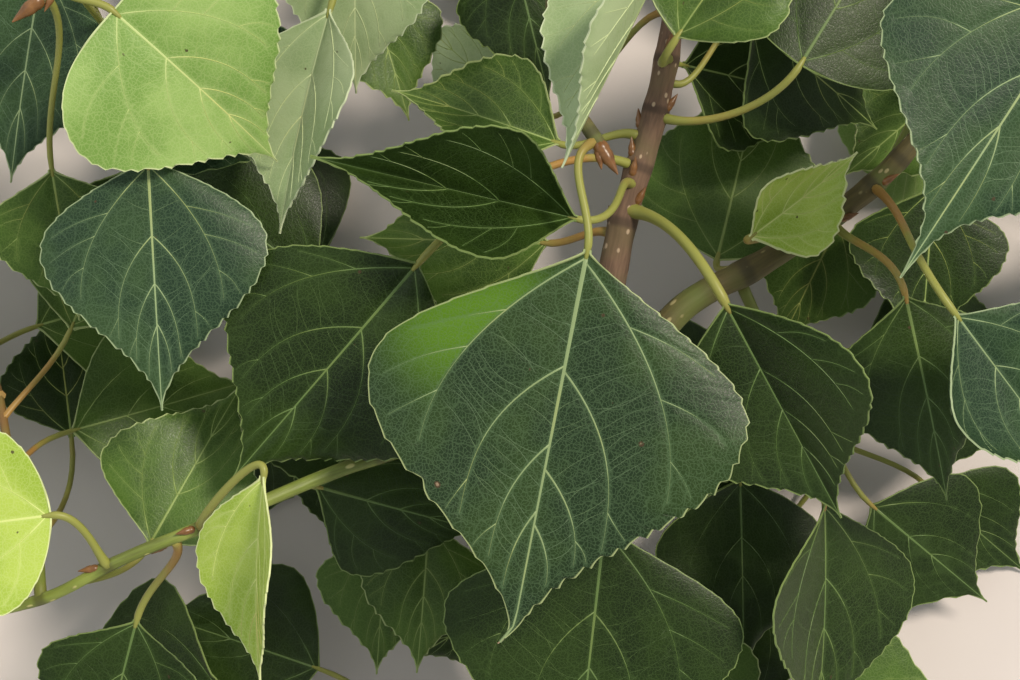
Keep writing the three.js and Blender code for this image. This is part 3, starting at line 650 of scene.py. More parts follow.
RUNG_STRAY = (0.2, 0.25)  # of a rung from its even place, from the midrib and from a side vein
RUNG_SAG = (0.1, 0.14)
RUNG_REACH = (0.9, 1.1)
CROWDED = 1.2  # rungs from a side vein lie this much closer
WEDGE = 0.34  # share of the lower side vein that the rungs from the midrib run to
RUNG_SLANT = 0.7  # how far along it the others run on, for each share of the upper side vein
LAST_RUNG_END = 0.97


def seeded(seed):
    """Random numbers that come out the same on every run."""
    state = [seed]

    def draw(low, high):
        state[0] = (state[0] * 16807) % 2147483647
        return low + (high - low) * state[0] / 2147483647

    return draw


def side_vein(leaf, hand, row, draw):
    """A side vein as a function from its share t to (s, across), both as shares of the blade's length."""
    start, end, reach, bow = row
    shift = draw(-VEIN_STRAY, VEIN_STRAY)
    start, end = start + max(shift, 0) * (start > STALK_VEINS), min(end + shift, SIDE_VEINS_END)
    spread = reach * half_width_at(leaf, end) * draw(*VEIN_REACH)
    return lambda t: (start + (end - start) * t, hand * spread * (1 - (1 - t) ** bow))


def bowed(a, b, t, sag):
    """A line from a to b that bows sideways by a share of its length."""
    s = a[0] + (b[0] - a[0]) * t + sag * (b[1] - a[1]) * np.sin(np.pi * t)
    x = a[1] + (b[1] - a[1]) * t - sag * (b[0] - a[0]) * np.sin(np.pi * t)
    return s, x


def branches(leaf, hand, k, vein, t, draw):
    """The branches of side vein k, out to the teeth: all on the lowest, the last one on the others."""
    for at, onward in BRANCHES if k == 0 else BRANCHES[-1:]:
        root = vein(at + draw(-BRANCH_STRAY, BRANCH_STRAY))
        run = onward * (BRANCH_RUN[0] - BRANCH_RUN[1] * k)
        end = min(root[0] + run + draw(*BRANCH_EXTRA), BRANCHES_END)
        edge = hand * half_width_at(leaf, end) * BRANCHES_END
        if abs(edge) > abs(root[1]) + SHORTEST_BRANCH:
            yield (*bowed(root, (end, edge), t, hand * draw(*BRANCH_SAG)), BRANCH)


def rungs(length, hand, lower, upper, foot, top, top_end, t, draw):
    """Rungs from the midrib and the upper one of two side veins down to the lower one."""
    near, far = RUNG_STRAY
    near_sag, far_sag = RUNG_SAG
    wedge = max(int((top - foot) * length / RUNG_SPACING), 1)
    for i in range(1, wedge):
        x = (i + draw(-near, near)) / wedge
        b = lower(min(WEDGE * x, 1) * draw(*RUNG_REACH))
        yield (*bowed((foot + (top - foot) * x, 0.0), b, t, hand * draw(-near_sag, near_sag)), RUNG)
    run = int((top_end - top) * length * CROWDED / RUNG_SPACING)
    for i in range(1, run + 1):
        x = RUNGS_TO * (i + draw(-far, far)) / run
        b = lower(min(WEDGE + RUNG_SLANT * x, LAST_RUNG_END))
        yield (*bowed(upper(x), b, t, hand * draw(-far_sag, far_sag)), RUNG)


def vein_lines(leaf, seed, detail):
    """The veins of a blade, each as where it runs along and across and its rank."""
    draw = seeded(seed)
    t = np.linspace(0, 1, NETTED_VEIN_STEPS if detail == NETTED else VEIN_STEPS)
    lines = [(t * MIDRIB_END, 0 * t, MIDRIB)]
    for hand in (-1, 1):
        rows = leaf.get("left_veins", SIDE_VEINS) if hand > 0 else SIDE_VEINS
        rows = [row for row in rows if half_width_at(leaf, row[1]) > NARROW]
        rows = rows[:FEW_SIDE_VEINS] if detail == PLAIN else rows
        veins = [side_vein(leaf, hand, row, draw) for row in rows]
        for k, vein in enumerate(veins):
            lines.append((*vein(t), SIDE))
            if k < FEW_SIDE_VEINS and detail > PLAIN:
                lines += branches(leaf, hand, k, vein, t[::2], draw)
        for k in range(min(len(veins) - 1, FEW_SIDE_VEINS) if detail == NETTED else 0):
            foot, (top, top_end) = rows[k][0], rows[k + 1][:2]
            lines += rungs(leaf["length"], hand, veins[k], veins[k + 1], foot, top, top_end, t[::3], draw)
    return lines


FAR = 99.0


def distance_to(lines, across, along_mm, length):
    """Distance in millimetres on the flat blade from each point to the nearest of the veins."""
    best = np.full(len(across), FAR)
    for s, x, _ in lines:
        a = np.stack([x * length, s * length], 1)
        for (ax, ay), (bx, by) in zip(a, a[1:]):
            span = (bx - ax) ** 2 + (by - ay) ** 2 + 1e-9
            t = np.clip(((across - ax) * (bx - ax) + (along_mm - ay) * (by - ay)) / span, 0, 1)
            best = np.minimum(best, np.hypot(across - ax - t * (bx - ax), along_mm - ay - t * (by - ay)))
    return best


# Half width in mm of a vein at its start and end on a 77 mm blade, and how deep
# the blade sinks along it, by rank.
VEIN_WIDTH = ((0.56, 0.12), (0.21, 0.04), (0.11, 0.035), (0.065, 0.04))
VEIN_SINK = (0.24, 0.2, 0.12, 0.06)
SINK_REACH = (1.5, 1.2, 0.8, 0.6)
VEIN_RISE = (0.06, 0.07, 0.05, 0.02)  # mm, how far the edge of a vein's crest clears the blade
VEIN_HALO = (1.0, 1.0, 1.6, 9.0)  # how much sooner the pale strip beside a vein ends, by rank
FULL_LENGTH = LEAVES["leaf_centre"]["length"]
LEAF_OFFSET = 90.0  # mm between the patterns of one leaf and the next
TEETH = ((3.2, 3.0), (0.75, 0.75))  # mm between teeth and their depth, on the right and left sides
TOOTH_PEAK = 0.78  # teeth hook forward, so each is highest late in its pitch
TOOTH_BULGE = 1.3
TOOTH_WANDER = 0.5  # mm that teeth stray from even spacing, in waves of 2 pi / WANDER_RATE mm
WANDER_RATE = 0.9
WANDER_SHIFT = 2.0  # radians between those waves on the two sides
SIDE_SHIFT = 0.7  # mm between the teeth of the two sides
TEETH_START = (0.03, 0.1)  # share of the length where teeth start, and over which they grow
TEETH_END = (0.95, 0.08)  # and where they end, and over which they shrink
SHOULDER = 0.2  # up to here teeth are shallower
SHOULDER_TEETH = 0.35  # of their depth further on
SHOULDER_GAIN = 2.0  # how fast they deepen past it
MARGIN_STEPS = 600
TOOTH_HOLD, ROLL_HOLD, NICK_HOLD = 5, 7, 9  # how near the margin each of these keeps
ROLL_IN = 0.6  # how far a rolled margin draws in, as a share of its rise
FLECKS = 3
FLECK_PLACES = (0.15, 0.85)  # share of the length, and up to the same share of the half width
FLECK_RADIUS = (0.12, 0.34)
EVEN_ROWS = 0.35  # how far the mesh's rows are even by length, and not by the margin's run
EVEN_COLUMNS = 0.45  # and its columns by width, and not crowded at the margin
BACKLIGHT_PATCH_EDGE = 0.6  # mm from the side vein over which the painted backlight begins


def sink_and_halo(lines, across, along_mm, length):
    """How deep the blade sinks along its veins, and how near the closest one is for its pale strip."""
    depth, near = 0 * across, np.full(len(across), FAR)
    for rank, sink in enumerate(VEIN_SINK):
        group = [line for line in lines if line[2] == rank]
        if group:
            distance = distance_to(group, across, along_mm, length)
            dip = sink * length / FULL_LENGTH * np.exp(-((distance / SINK_REACH[rank]) ** 2))
            depth = np.maximum(depth, dip)
            near = np.minimum(near, distance * VEIN_HALO[rank])
    return depth, near


def margin(leaf):
    """Along a blade: shares of its length, half its width there, and the margin's run from the base."""
    s = np.linspace(0, 1, MARGIN_STEPS)
    wide = leaf["length"] * half_width(leaf, s)
    run = np.concatenate([[0], np.cumsum(np.hypot(np.diff(wide), np.diff(s) * leaf["length"]))])
    return s, wide, run


def tooth_push(leaf, s, run, left):
    """How far teeth push the margin out, by its run from the base."""
    pitch, depth = leaf.get("teeth", TEETH)
    run = run + TOOTH_WANDER * np.sin(run * WANDER_RATE + WANDER_SHIFT * left) + SIDE_SHIFT * left
    phase = (run / np.where(left, pitch[1], pitch[0])) % 1
    tooth = np.where(phase < TOOTH_PEAK, (phase / TOOTH_PEAK) ** TOOTH_BULGE, (1 - phase) / (1 - TOOTH_PEAK))
    growing = np.clip((s - TEETH_START[0]) / TEETH_START[1], 0, 1)
    ending = np.clip((TEETH_END[0] - s) / TEETH_END[1], 0, 1)
    shoulder = np.clip(SHOULDER_TEETH + SHOULDER_GAIN * (s - SHOULDER), SHOULDER_TEETH, 1)
    return (tooth - 0.5) * np.where(left, depth[1], depth[0]) * (growing * ending * shoulder)


def at_margin(s, v, hand, at, spread, hold):
    """A share that is 1 at a place on one side's margin and falls away along it and inwards."""
    return np.exp(-(((s - at) / spread) ** 2)) * (v * hand > 0) * np.abs(v) ** hold


def fleck_places(leaf, draw):
    """Small brown scars on a blade, as across and along in millimetres and a radius."""
    made = list(leaf.get("flecks", ()))
    for _ in range(FLECKS):
        s, v = draw(*FLECK_PLACES), draw(-FLECK_PLACES[1], FLECK_PLACES[1])
        across = v * leaf["length"] * half_width_at(leaf, s)
        made.append((across, s * leaf["length"], draw(*FLECK_RADIUS)))
    return made


def make_blade(name, leaf, mesh_size, lines):
    """A blade as a grid laid on its surface, toothed, quilted along its veins and given its thickness."""
    length = leaf["length"]
    piece, across, share = grid(name, *mesh_size)
    table_s, table_wide, table_run = margin(leaf)
    s = np.interp(share, EVEN_ROWS * table_s + (1 - EVEN_ROWS) * table_run / table_run[-1], table_s)
    v = EVEN_COLUMNS * across + (1 - EVEN_COLUMNS) * np.sin(np.pi / 2 * across)
    least = thin_end(s)
    point, face, outward, onward = blade_surface(leaf, s, v, least)
    wide = np.maximum(length * half_width(leaf, s), least)
    lean = np.arctan(-np.interp(s, table_s, np.gradient(table_wide, table_s * length)))
    push = tooth_push(leaf, s, np.interp(s, table_s, table_run), v > 0) * np.abs(v) ** TOOTH_HOLD
    for hand, at, spread, bite in leaf.get("nicks", ()):
        push = push - bite * at_margin(s, v, hand, at, spread, NICK_HOLD)
    point = point + outward * (push * np.cos(lean))[:, None] + onward * (push * np.sin(lean))[:, None]
    for hand, at, spread, lift in leaf.get("rolled", ()):
        rise = lift * at_margin(s, v, hand, at, spread, ROLL_HOLD)
        point = point + face * rise[:, None] - outward * (ROLL_IN * rise)[:, None]
    flat_across, flat_along = v * wide, s * length
    depth, near = sink_and_halo(lines, flat_across, flat_along, length)
    place_points(piece, point - face * depth[:, None])
    note_points(piece, "vein_mm", near)
    note_points(piece, "rim_mm", (1 - np.abs(v)) * wide * np.cos(lean))
    own_place = flat_across + LEAF_OFFSET * leaf["number"]
    note_points(piece, "leaf_mm", np.stack([own_place, flat_along, 0 * s], 1))
    flecks = fleck_places(leaf, seeded(leaf["number"] * 13 + 5))
    scars = [np.hypot(flat_across - x, flat_along - y) - radius for x, y, radius in flecks]
    note_points(piece, "fleck_mm", np.min(scars, 0))
    # A yellow-green patch of painted backlight on the big leaf, ending at its lowest right side vein.
    if "backlight_patch" in leaf:
        x, y, reach = leaf["backlight_patch"]
        vein_s, vein_across, _ = lines[1]  # the lowest side vein of the right half
        before = np.interp(-flat_across, -length * vein_across, length * vein_s) - flat_along
        patch = np.exp(-((np.hypot(flat_across - x, flat_along - y) / reach) ** 4))
        note_points(piece, "painted_backlight", patch * np.clip(before / BACKLIGHT_PATCH_EDGE, 0, 1))
    facing = np.mean([list(polygon.normal) for polygon in piece.data.polygons], axis=0) @ blade_axes(leaf)[1]
    if facing < 0:
        piece.data.flip_normals()
    wall = piece.modifiers.new("wall", "SOLIDIFY")
    wall.thickness = THICKNESS / METRE
    wall.offset = 0.0
    wall.use_rim = True
    wall.material_offset = 1
    bpy.ops.object.modifier_apply(modifier=wall.name)
    bpy.ops.object.shade_smooth_by_angle(angle=math.radians(50))
    return piece


def make_strands(name, strands):
    """One mesh of thin rods, each given by its centres, the way up, half widths, heights above and below,
    its number of sides and its material."""
    corners, faces, skins, base = [], [], [], 0
    for centres, up, half, above, below, sides, skin in strands:
        side = unit(np.cross(up, np.gradient(centres, axis=0)))
        turn = 2 * np.pi * np.arange(sides) / sides
        out = np.cos(turn)[None, :, None] * (side * half[:, None])[:, None]
        lift = np.sin(turn)[None, :] * np.where(np.sin(turn)[None, :] > 0, above[:, None], below[:, None])
        corners.append((centres[:, None] + out + up[:, None] * lift[:, :, None]).reshape(-1, 3))
        rings = len(centres)
        ring = np.arange(sides)
        step = (base + sides * np.arange(rings - 1))[:, None]
        here, beside = step + ring, step + (ring + 1) % sides
        quads = np.stack([here, here + sides, beside + sides, beside], 2).reshape(-1, 4)
        faces += quads.tolist()
        faces.append((base + ring).tolist())
        faces.append((base + sides * (rings - 1) + ring[::-1]).tolist())
        skins += [skin] * (len(quads) + 2)
        base += sides * rings
    mesh = bpy.data.meshes.new(name)
    mesh.from_pydata(to_metres(np.concatenate(corners)).tolist(), [], faces)
    mesh.polygons.foreach_set("material_index", skins)
    piece = bpy.data.objects.new(name, mesh)
    bpy.context.collection.objects.link(piece)
    bpy.context.view_layer.objects.active = piece
    piece.select_set(True)
    bpy.ops.object.mode_set(mode="EDIT")
    close_mesh(smooth=95)
    return piece


VEIN, FINE_VEIN, STALK = 0, 1, 2  # materials of a leaf's strands
VEIN_SIDES = 4
LEAST_SCALE = 0.6  # veins of small leaves don't get thinner than this share of the big leaf's
WITHIN_MARGIN = 0.96  # of the half width
NARROWEST = 0.004  # half width of a blade's tip to reckon with, as a share of the length
VEIN_TAPER = 0.7
CREST, KEEL = 0.4, 0.9  # how far a vein stands out above and beneath, as shares of its half width


def vein_strands(leaf, lines):
    """The veins of a blade as strands that lie in it and stand proud of both faces."""
    length = leaf["length"]
    scale = max(length / FULL_LENGTH, LEAST_SCALE)
    s_all, across_all = (np.concatenate([line[k] for line in lines]) * length for k in (0, 1))
    depth = sink_and_halo(lines, across_all, s_all, length)[0]
    depths = np.split(depth, np.cumsum([len(line[0]) for line in lines])[:-1])
    made = []
    for (s, across, rank), deep in zip(lines, depths):
        v = np.clip(across / np.maximum(half_width(leaf, s), NARROWEST), -WITHIN_MARGIN, WITHIN_MARGIN)
        centres, up, _, _ = blade_surface(leaf, s, v, thin_end(s))
        centres = centres - up * deep[:, None]
        first, last = VEIN_WIDTH[rank]
        thick = (first + (last - first) * np.linspace(0, 1, len(s)) ** VEIN_TAPER) * scale
        above = THICKNESS / 2 + VEIN_RISE[rank] + CREST * thick
        below = THICKNESS / 2 + VEIN_RISE[rank] + KEEL * thick
        half = thick * above / (above - THICKNESS / 2)
        made.append((centres, up, half, above, below, VEIN_SIDES, FINE_VEIN if rank == RUNG else VEIN))
    return made


STALK_SUNK = 1.2  # mm that a stalk starts inside its stem
STALK_RUNS_ON = ((1.2, 0.0), (2.6, 0.35))  # mm that it goes on along the midrib, and sinks under it
STALK_SWELL = 0.5
SWELL_FADE = 6.0
STALK_DEPTH = 1.2  # a stalk is deeper than wide at its foot
STALK_THINS = (0.3, 0.2)  # and less so towards the blade, above and beneath
LAST_RINGS = (0.85, 0.6, 0.3)  # its last rings narrow to where it merges with the midrib


def stalk_strand(leaf, steps, sides, thickness):
    """The stalk of a leaf: swollen and sunk into its stem at the foot, and flattened from side to side."""
    centres = stalk_point(leaf, np.linspace(0, 1, steps))
    ahead, normal, _ = blade_axes(leaf)
    over = [centres[-1] + ahead * onward - normal * down for onward, down in STALK_RUNS_ON]
    centres = np.concatenate([[leaf["foot"] - leaf["out"] * STALK_SUNK], centres, over])
    up = np.array([square_to(normal, forward) for forward in unit(np.gradient(centres, axis=0))])
    t = np.linspace(0, 1, len(centres))
    swell = 1 + STALK_SWELL * np.exp(-t * leaf["length"] / SWELL_FADE)
    swell[-len(LAST_RINGS) :] *= LAST_RINGS
    half = thickness * swell
    above, below = (half * (STALK_DEPTH - thins * t) for thins in STALK_THINS)
    return centres, up, half, above, below, sides, STALK


# Leaf skin: waxy, dark above and pale beneath, with a yellow rim, and light glows
# through it. Fine veins mesh it into cells, which are drawn at about twice their
# real 0.3 mm so that they show. A yellow-green patch of painted backlight lies on
# the big leaf.
CELL = 0.7
AREA = 3.4  # mm across the larger patches that the cells lie in
CELL_EDGE = 0.16
AREA_EDGE = 0.06
AREA_NETTING = 0.9  # how strong an area's wall shows, as a share of a cell's
WALL_SUNK = -2.0  # the walls' depth, as a multiple of the grain's height
WANDER = 1.2  # mm that the cells' walls wander, in waves of the next size
WANDER_SIZE = 2.0
BLOTCH_SIZE = 20.0
BLOTCHES_BETWEEN = (0.36, 0.64)  # values of their noise between which the colour turns
GRAIN = 1 / 2.2
GRAIN_RELIEF = 0.12
GLOSS_VARIES = 0.06  # either way, with the grain
VEIN_STRIP = (0.1, 0.9)  # mm from a vein between which the paler strip beside it fades
RIM_STRIP = (0.1, 0.32)  # and mm in from the margin for the yellow rim
SCAR_RIM = (0.0, 0.16)  # mm out from a scar's edge between which its brown rim fades
SCAR_PALE = (-0.3, -0.12)  # and from its pale middle to the brown
FLAT = "2D"
GLOW = "#9ec43c"
GLOW_SHARE = 0.14
# Painted backlight: the yellow-green of sun shining through part of the big leaf.
BACKLIGHT_PAINT = "#5f8a18"
SCAR, SCAR_MIDDLE = "#4a3a28", "#a68c74"


def leaf_skin(name, colours, roughness, relief, netting):
    body, patches, net, rim = colours
    material, tree = new_material(name)
    spot = add(tree, "Attribute", attribute_name="leaf_mm").outputs["Vector"]
    vein_mm, rim_mm, fleck_mm, painted_backlight = (
        add(tree, "Attribute", attribute_name=measure).outputs["Fac"]
        for measure in ("vein_mm", "rim_mm", "fleck_mm", "painted_backlight")
    )
    wander, blotches, grain = (
        add(tree, "TexNoise", {"Vector": spot, "Scale": 1 / size, "Detail": detail}, noise_dimensions=FLAT)
        for size, detail in ((WANDER_SIZE, 2.0), (BLOTCH_SIZE, 5.0), (GRAIN, 3.0))
    )
    shift = {0: wander.outputs["Color"], 1: (WANDER, WANDER, 0.0), 2: spot}
    shifted = add(tree, "VectorMath", shift, operation="MULTIPLY_ADD")
    walls = []
    for size, edge, share in ((CELL, CELL_EDGE, netting), (AREA, AREA_EDGE, netting * AREA_NETTING)):
        pattern = {"voronoi_dimensions": FLAT, "feature": "DISTANCE_TO_EDGE"}
        cells = add(tree, "TexVoronoi", {"Vector": shifted, "Scale": 1 / size}, **pattern)
        sockets = {"Value": cells, "From Max": edge, "To Min": share, "To Max": 0.0}
        walls.append(add(tree, "MapRange", sockets, interpolation_type=SOFT))
    fine = add(tree, "Math", {0: walls[0], 1: walls[1]}, operation="MAXIMUM")
    colour = coat(tree, body, patches, blotches, BLOTCHES_BETWEEN, curve=SOFT)
    # painted backlight on the big leaf
    colour = coat(tree, colour, BACKLIGHT_PAINT, painted_backlight, shares=(0.0, 0.8))
    colour = coat(tree, colour, net, fine)
    colour = coat(tree, colour, net, vein_mm, VEIN_STRIP, shares=(0.3, 0.0), curve=SOFT)
    colour = coat(tree, colour, rim, rim_mm, RIM_STRIP, shares=(0.8, 0.0), curve=SOFT)
    colour = coat(tree, colour, SCAR, fleck_mm, SCAR_RIM, shares=(0.9, 0.0), curve=SOFT)
    colour = coat(tree, colour, SCAR_MIDDLE, fleck_mm, SCAR_PALE, shares=(0.8, 0.0), curve=SOFT)
    height = add(tree, "Math", {0: fine, 1: WALL_SUNK, 2: grain}, operation="MULTIPLY_ADD")
    bump = add(tree, "Bump", {"Height": height, "Strength": relief, "Distance": GRAIN_RELIEF / METRE})
    low, high = roughness - GLOSS_VARIES, roughness + GLOSS_VARIES
    dull = {"From Min": 0.3, "From Max": 0.7, "To Min": low, "To Max": high}
    gloss = add(tree, "MapRange", {"Value": grain, **dull}, interpolation_type=SOFT)
    wax = {"Base Color": colour, "Roughness": gloss, "IOR": 1.45, "Specular IOR Level": 0.31, "Normal": bump}
    through = add(tree, "BsdfTranslucent", {"Color": GLOW, "Normal": bump})
    mixed = add(tree, "MixShader", {0: GLOW_SHARE, 1: add(tree, "BsdfPrincipled", wax), 2: through})
    add(tree, "OutputMaterial", {"Surface": mixed})
    return material


# Vein and stalk tissue: smooth, pale yellow-green, flushed with another colour
# in places, ochre on the stalks. Fibres along it give a faint grain.
FLUSH_SIZE = 22.2
FLUSH_BETWEEN = (0.48, 0.7)  # values of its noise between which it comes in
FIBRE_SIZE = 1.11
FIBRE_RELIEF = 0.1


def stalk_skin(name, colours, roughness):
    material, tree = new_material(name)
    place = add(tree, "TexCoord").outputs["Object"]
    flush = add(tree, "TexNoise", {"Vector": place, "Scale": METRE / FLUSH_SIZE, "Detail": 2.0})
    colour = coat(tree, *colours, flush, FLUSH_BETWEEN, curve=SOFT)
    fibres = add(tree, "TexNoise", {"Vector": place, "Scale": METRE / FIBRE_SIZE, "Detail": 1.0})
    bump = add(tree, "Bump", {"Height": fibres, "Strength": 0.25, "Distance": FIBRE_RELIEF / METRE})
    smooth = {"Base Color": colour, "Roughness": roughness, "IOR": 1.42, "Normal": bump}
    add(tree, "OutputMaterial", {"Surface": add(tree, "BsdfPrincipled", smooth)})
    return material


# Colours by tone: body, patches, net and rim above and beneath, then the veins
# and the finest ones, each with its flush. The big leaf is grey-green, waxy ones
# blue-grey, new ones yellow-green. Deep green is painted shade for leaves that lie
# in shadow, the bright tone is painted sunlight for leaves in the sun, and pale is
# a waxy grey-green lightened with painted light.
TONES = {
    "main": (
        ("#20331c", "#2d421e", "#64805a", "#b4c088"), ("#7c9474", "#8fa584", "#b3c297", "#c9d3ac"),
        ("#86996a", "#94a066"), ("#53694a", "#5b7046"),
    ),
    "deep": (
        ("#1a2a0a", "#273a10", "#4a6232", "#8a9e5e"), ("#6c8460", "#809672", "#a2b288", "#bfca9f"),
        ("#5f7840", "#6c8044"), ("#3f5529", "#475c2a"),
    ),
    "glaucous": (
        ("#243a28", "#344c2c", "#5f7a58", "#aebf94"), ("#7f967c", "#94a890", "#b1c0a0", "#c9d3b4"),
        ("#8ea274", "#98a66c"), ("#5c7555", "#647a52"),
    ),
    "pale": (
        ("#90a574", "#abbc8e", "#b0c094", "#d2dcb8"), ("#8a9f7c", "#a0b292", "#bccaa8", "#d2dcb8"),
        ("#bcc996", "#c6c98c"), ("#98ac76", "#9eb078"),
    ),
    "mid": (
        ("#3a5220", "#4f6c2a", "#748c48", "#b4c284"), ("#7f955c", "#94a870", "#b4c28e", "#ccd6a4"),
        ("#8b9f58", "#979f52"), ("#64803c", "#6c8440"),
    ),
    "bright": (
        ("#7a9e4c", "#98b766", "#b8cc86", "#dbe4b0"), ("#8fa862", "#a5bd7c", "#c4d39c", "#d9e3b4"),
        ("#bccc86", "#c4c97c"), ("#94b060", "#9cb262"),
    ),
    "young": (
        ("#9bb740", "#b6cd5a", "#d0e08c", "#e6ebb6"), ("#a3b862", "#b7c97c", "#d0dca0", "#e3e9bc"),
        ("#cfda86", "#d2c676"), ("#b2c85c", "#b8c860"),
    ),
}
stalk_green = stalk_skin("poplar_stalk", ("#8f9148", "#a17a40"), 0.42)
blade_skins, strand_skins = {}, {}
for tone, (above, beneath, vein, fine_vein) in TONES.items():
    blade_skins[tone] = [
        leaf_skin("poplar_leaf_" + tone, above, roughness=0.4, relief=0.2, netting=0.34),
        leaf_skin("poplar_leaf_beneath_" + tone, beneath, roughness=0.62, relief=0.7, netting=0.4),
    ]
    strand_skins[tone] = [
        stalk_skin("poplar_vein_" + tone, vein, 0.5),
        stalk_skin("poplar_fine_vein_" + tone, fine_vein, 0.5),
        stalk_green,
    ]

BLADE_MESHES = {  # columns and rows
    "leaf_centre": (130, 240),
    "leaf_right_large": (76, 120),
    "leaf_left": (70, 110),
    "leaf_top_left": (70, 110),
    "leaf_left_dark": (70, 110),
}
BLADE_MESH = (50, 84)
NAMED_STALK = 0.78  # half the width of a stalk
NAMED_STALK_MESH = (28, 10)  # steps along it and sides
FIRST_SEED = 101

for number, (name, leaf) in enumerate(LEAVES.items()):
    leaf["number"] = number
    leaf["foot"], leaf["out"] = foot_on(LIMBS[leaf["limb"]], leaf["at"], np.array(leaf["base"], float))
    lines = vein_lines(leaf, FIRST_SEED + number, NETTED)
    slot = "young_leaf" if "young" in name else "leaf"
    blade = make_blade(name + "_blade", leaf, BLADE_MESHES.get(name, BLADE_MESH), lines)
    finish_piece(blade, [name], blade_skins[leaf["tone"]])
    stalk = stalk_strand(leaf, *NAMED_STALK_MESH, leaf.get("stalk", NAMED_STALK))
    ribs = make_strands(name + "_veins", [*vein_strands(leaf, lines), stalk])
    finish_piece(ribs, [name], strand_skins[leaf["tone"]])

# Buds: a pointed brown bud of overlapping scales, which sticky resin makes shine,
# sits in the angle of the stalk of each leaf that shows from above. A larger one
# ends a bare shoot.
BUD_RINGS = (  # height and radius in mm: each scale ends in a small ledge
    (0.0, 0.7), (0.6, 1.0), (1.3, 1.08), (1.5, 0.95), (2.2, 1.0),
    (3.0, 0.82), (3.2, 0.7), (4.2, 0.42), (5.2, 0.08),
)
BUD_SIDES = 10
BUD_LEAN = 0.42  # away from the stem, for each 1 along it
BUD_SUNK = 0.9  # mm below the foot of the stalk
BUD_AHEAD = 1.6  # mm along the stem from the stalk
SIDE_BUD = 0.8  # size
TIP_BUD = 1.45
TIP_BUD_SUNK = 0.8
BARE_TIPS = ("upper_left_shoot", "front_twig")  # limbs that no twig goes on from
STREAK_SIZE = 1.43

bud_scale, tree = new_material("resinous_bud_scale")
place = add(tree, "TexCoord").outputs["Object"]
streaks = add(tree, "TexNoise", {"Vector": place, "Scale": METRE / STREAK_SIZE, "Detail": 2.0})
resin = {"Base Color": coat(tree, "#4a2a16", "#94683a", streaks), "Roughness": 0.32, "IOR": 1.5}
add(tree, "OutputMaterial", {"Surface": add(tree, "BsdfPrincipled", resin)})

bpy.ops.mesh.primitive_circle_add(vertices=BUD_SIDES, radius=BUD_RINGS[0][1] / METRE, fill_type="NGON")
bud = bpy.context.object
bpy.ops.object.mode_set(mode="EDIT")
bpy.ops.mesh.select_all(action="SELECT")
for (z0, r0), (z1, r1) in zip(BUD_RINGS, BUD_RINGS[1:]):
    bpy.ops.mesh.extrude_region_move(TRANSFORM_OT_translate={"value": (0, 0, (z1 - z0) / METRE)})
    bpy.ops.transform.resize(value=(r1 / r0, r1 / r0, 1))
close_mesh(smooth=50)
bud.select_set(False)


def place_bud(foot, way, size):
    """A copy of the bud with its own mesh, at a place and along a way."""
    copy = bpy.data.objects.new("bud", bud.data.copy())
    bpy.context.collection.objects.link(copy)
    turn = Vector(way).to_track_quat("Z", "X").to_matrix().to_4x4()
    copy.data.transform(turn @ Matrix.Diagonal((size, size, size, 1)))
    copy.data.transform(Matrix.Translation(Vector(to_metres(foot))))
    return copy


def join_pieces(name, parts):
    """Joins pieces into one, under a new name."""
    bpy.ops.object.select_all(action="DESELECT")
    for part in parts:
        part.select_set(True)
    bpy.context.view_layer.objects.active = parts[0]
    if len(parts) > 1:
        bpy.ops.object.join()
    parts[0].name = parts[0].data.name = name
    return parts[0]


for limb_name, limb in LIMBS.items():
    made = []
    for leaf in LEAVES.values():
        if leaf["limb"] == limb_name:
            axis = heading_at(limb["path"], leaf["at"])
            out = square_to(leaf["out"], axis)
            foot = leaf["foot"] - out * BUD_SUNK + axis * BUD_AHEAD
            made.append(place_bud(foot, unit(axis + out * BUD_LEAN), SIDE_BUD))
    if limb_name in BARE_TIPS:
        axis = heading_at(limb["path"], 1)
        made.append(place_bud(along(limb["path"], 1) - axis * TIP_BUD_SUNK, axis, TIP_BUD))
    finish_piece(join_pieces(limb_name + "_buds", made), [limb_name], [bud_scale])
bpy.data.objects.remove(bud)

# The cut foot of the stem: pale fresh wood with faint year rings, a darker pith
# and a green line under the bark.
BARK_THICKNESS = 0.45
CUT_RADIUS = LIMBS["main_stem"]["radius"][0] - BARK_THICKNESS
CUT_THICKNESS = 0.35  # that the wood stands out past the bark
CUT_SIDES = 48
CUT_STEPS = 8  # insets from the rim towards the pith
CUT_GAP = 0.02  # between it and the end of the bark
PITH = (0.5, 0.7)  # radius between which the pith turns to wood
GREEN_LINE = (CUT_RADIUS - 0.75, CUT_RADIUS - 0.45)
YEAR_RING = 0.9
WAVE_TURN = 20.0  # radians of a Wave texture in each unit of its scale

fresh_wood, tree = new_material("fresh_poplar_wood")
spot = add(tree, "Attribute", attribute_name="cut_mm").outputs["Vector"]
reach = add(tree, "VectorMath", {0: spot}, operation="LENGTH").outputs["Value"]
ring_scale = 2 * math.pi / WAVE_TURN / YEAR_RING
waves = {"Vector": spot, "Scale": ring_scale, "Distortion": 0.6}
rings = add(tree, "TexWave", waves, wave_type="RINGS", rings_direction="Z").outputs["Fac"]
wood = coat(tree, "#d9c9a0", "#c4b084", rings)
wood = coat(tree, wood, "#8a6f4c", reach, PITH, shares=(0.9, 0.0), curve=SOFT)
wood = coat(tree, wood, "#8f9a4e", reach, GREEN_LINE, shares=(0.0, 0.9), curve=SOFT)
sawn = add(tree, "BsdfPrincipled", {"Base Color": wood, "Roughness": 0.75})
add(tree, "OutputMaterial", {"Surface": sawn})

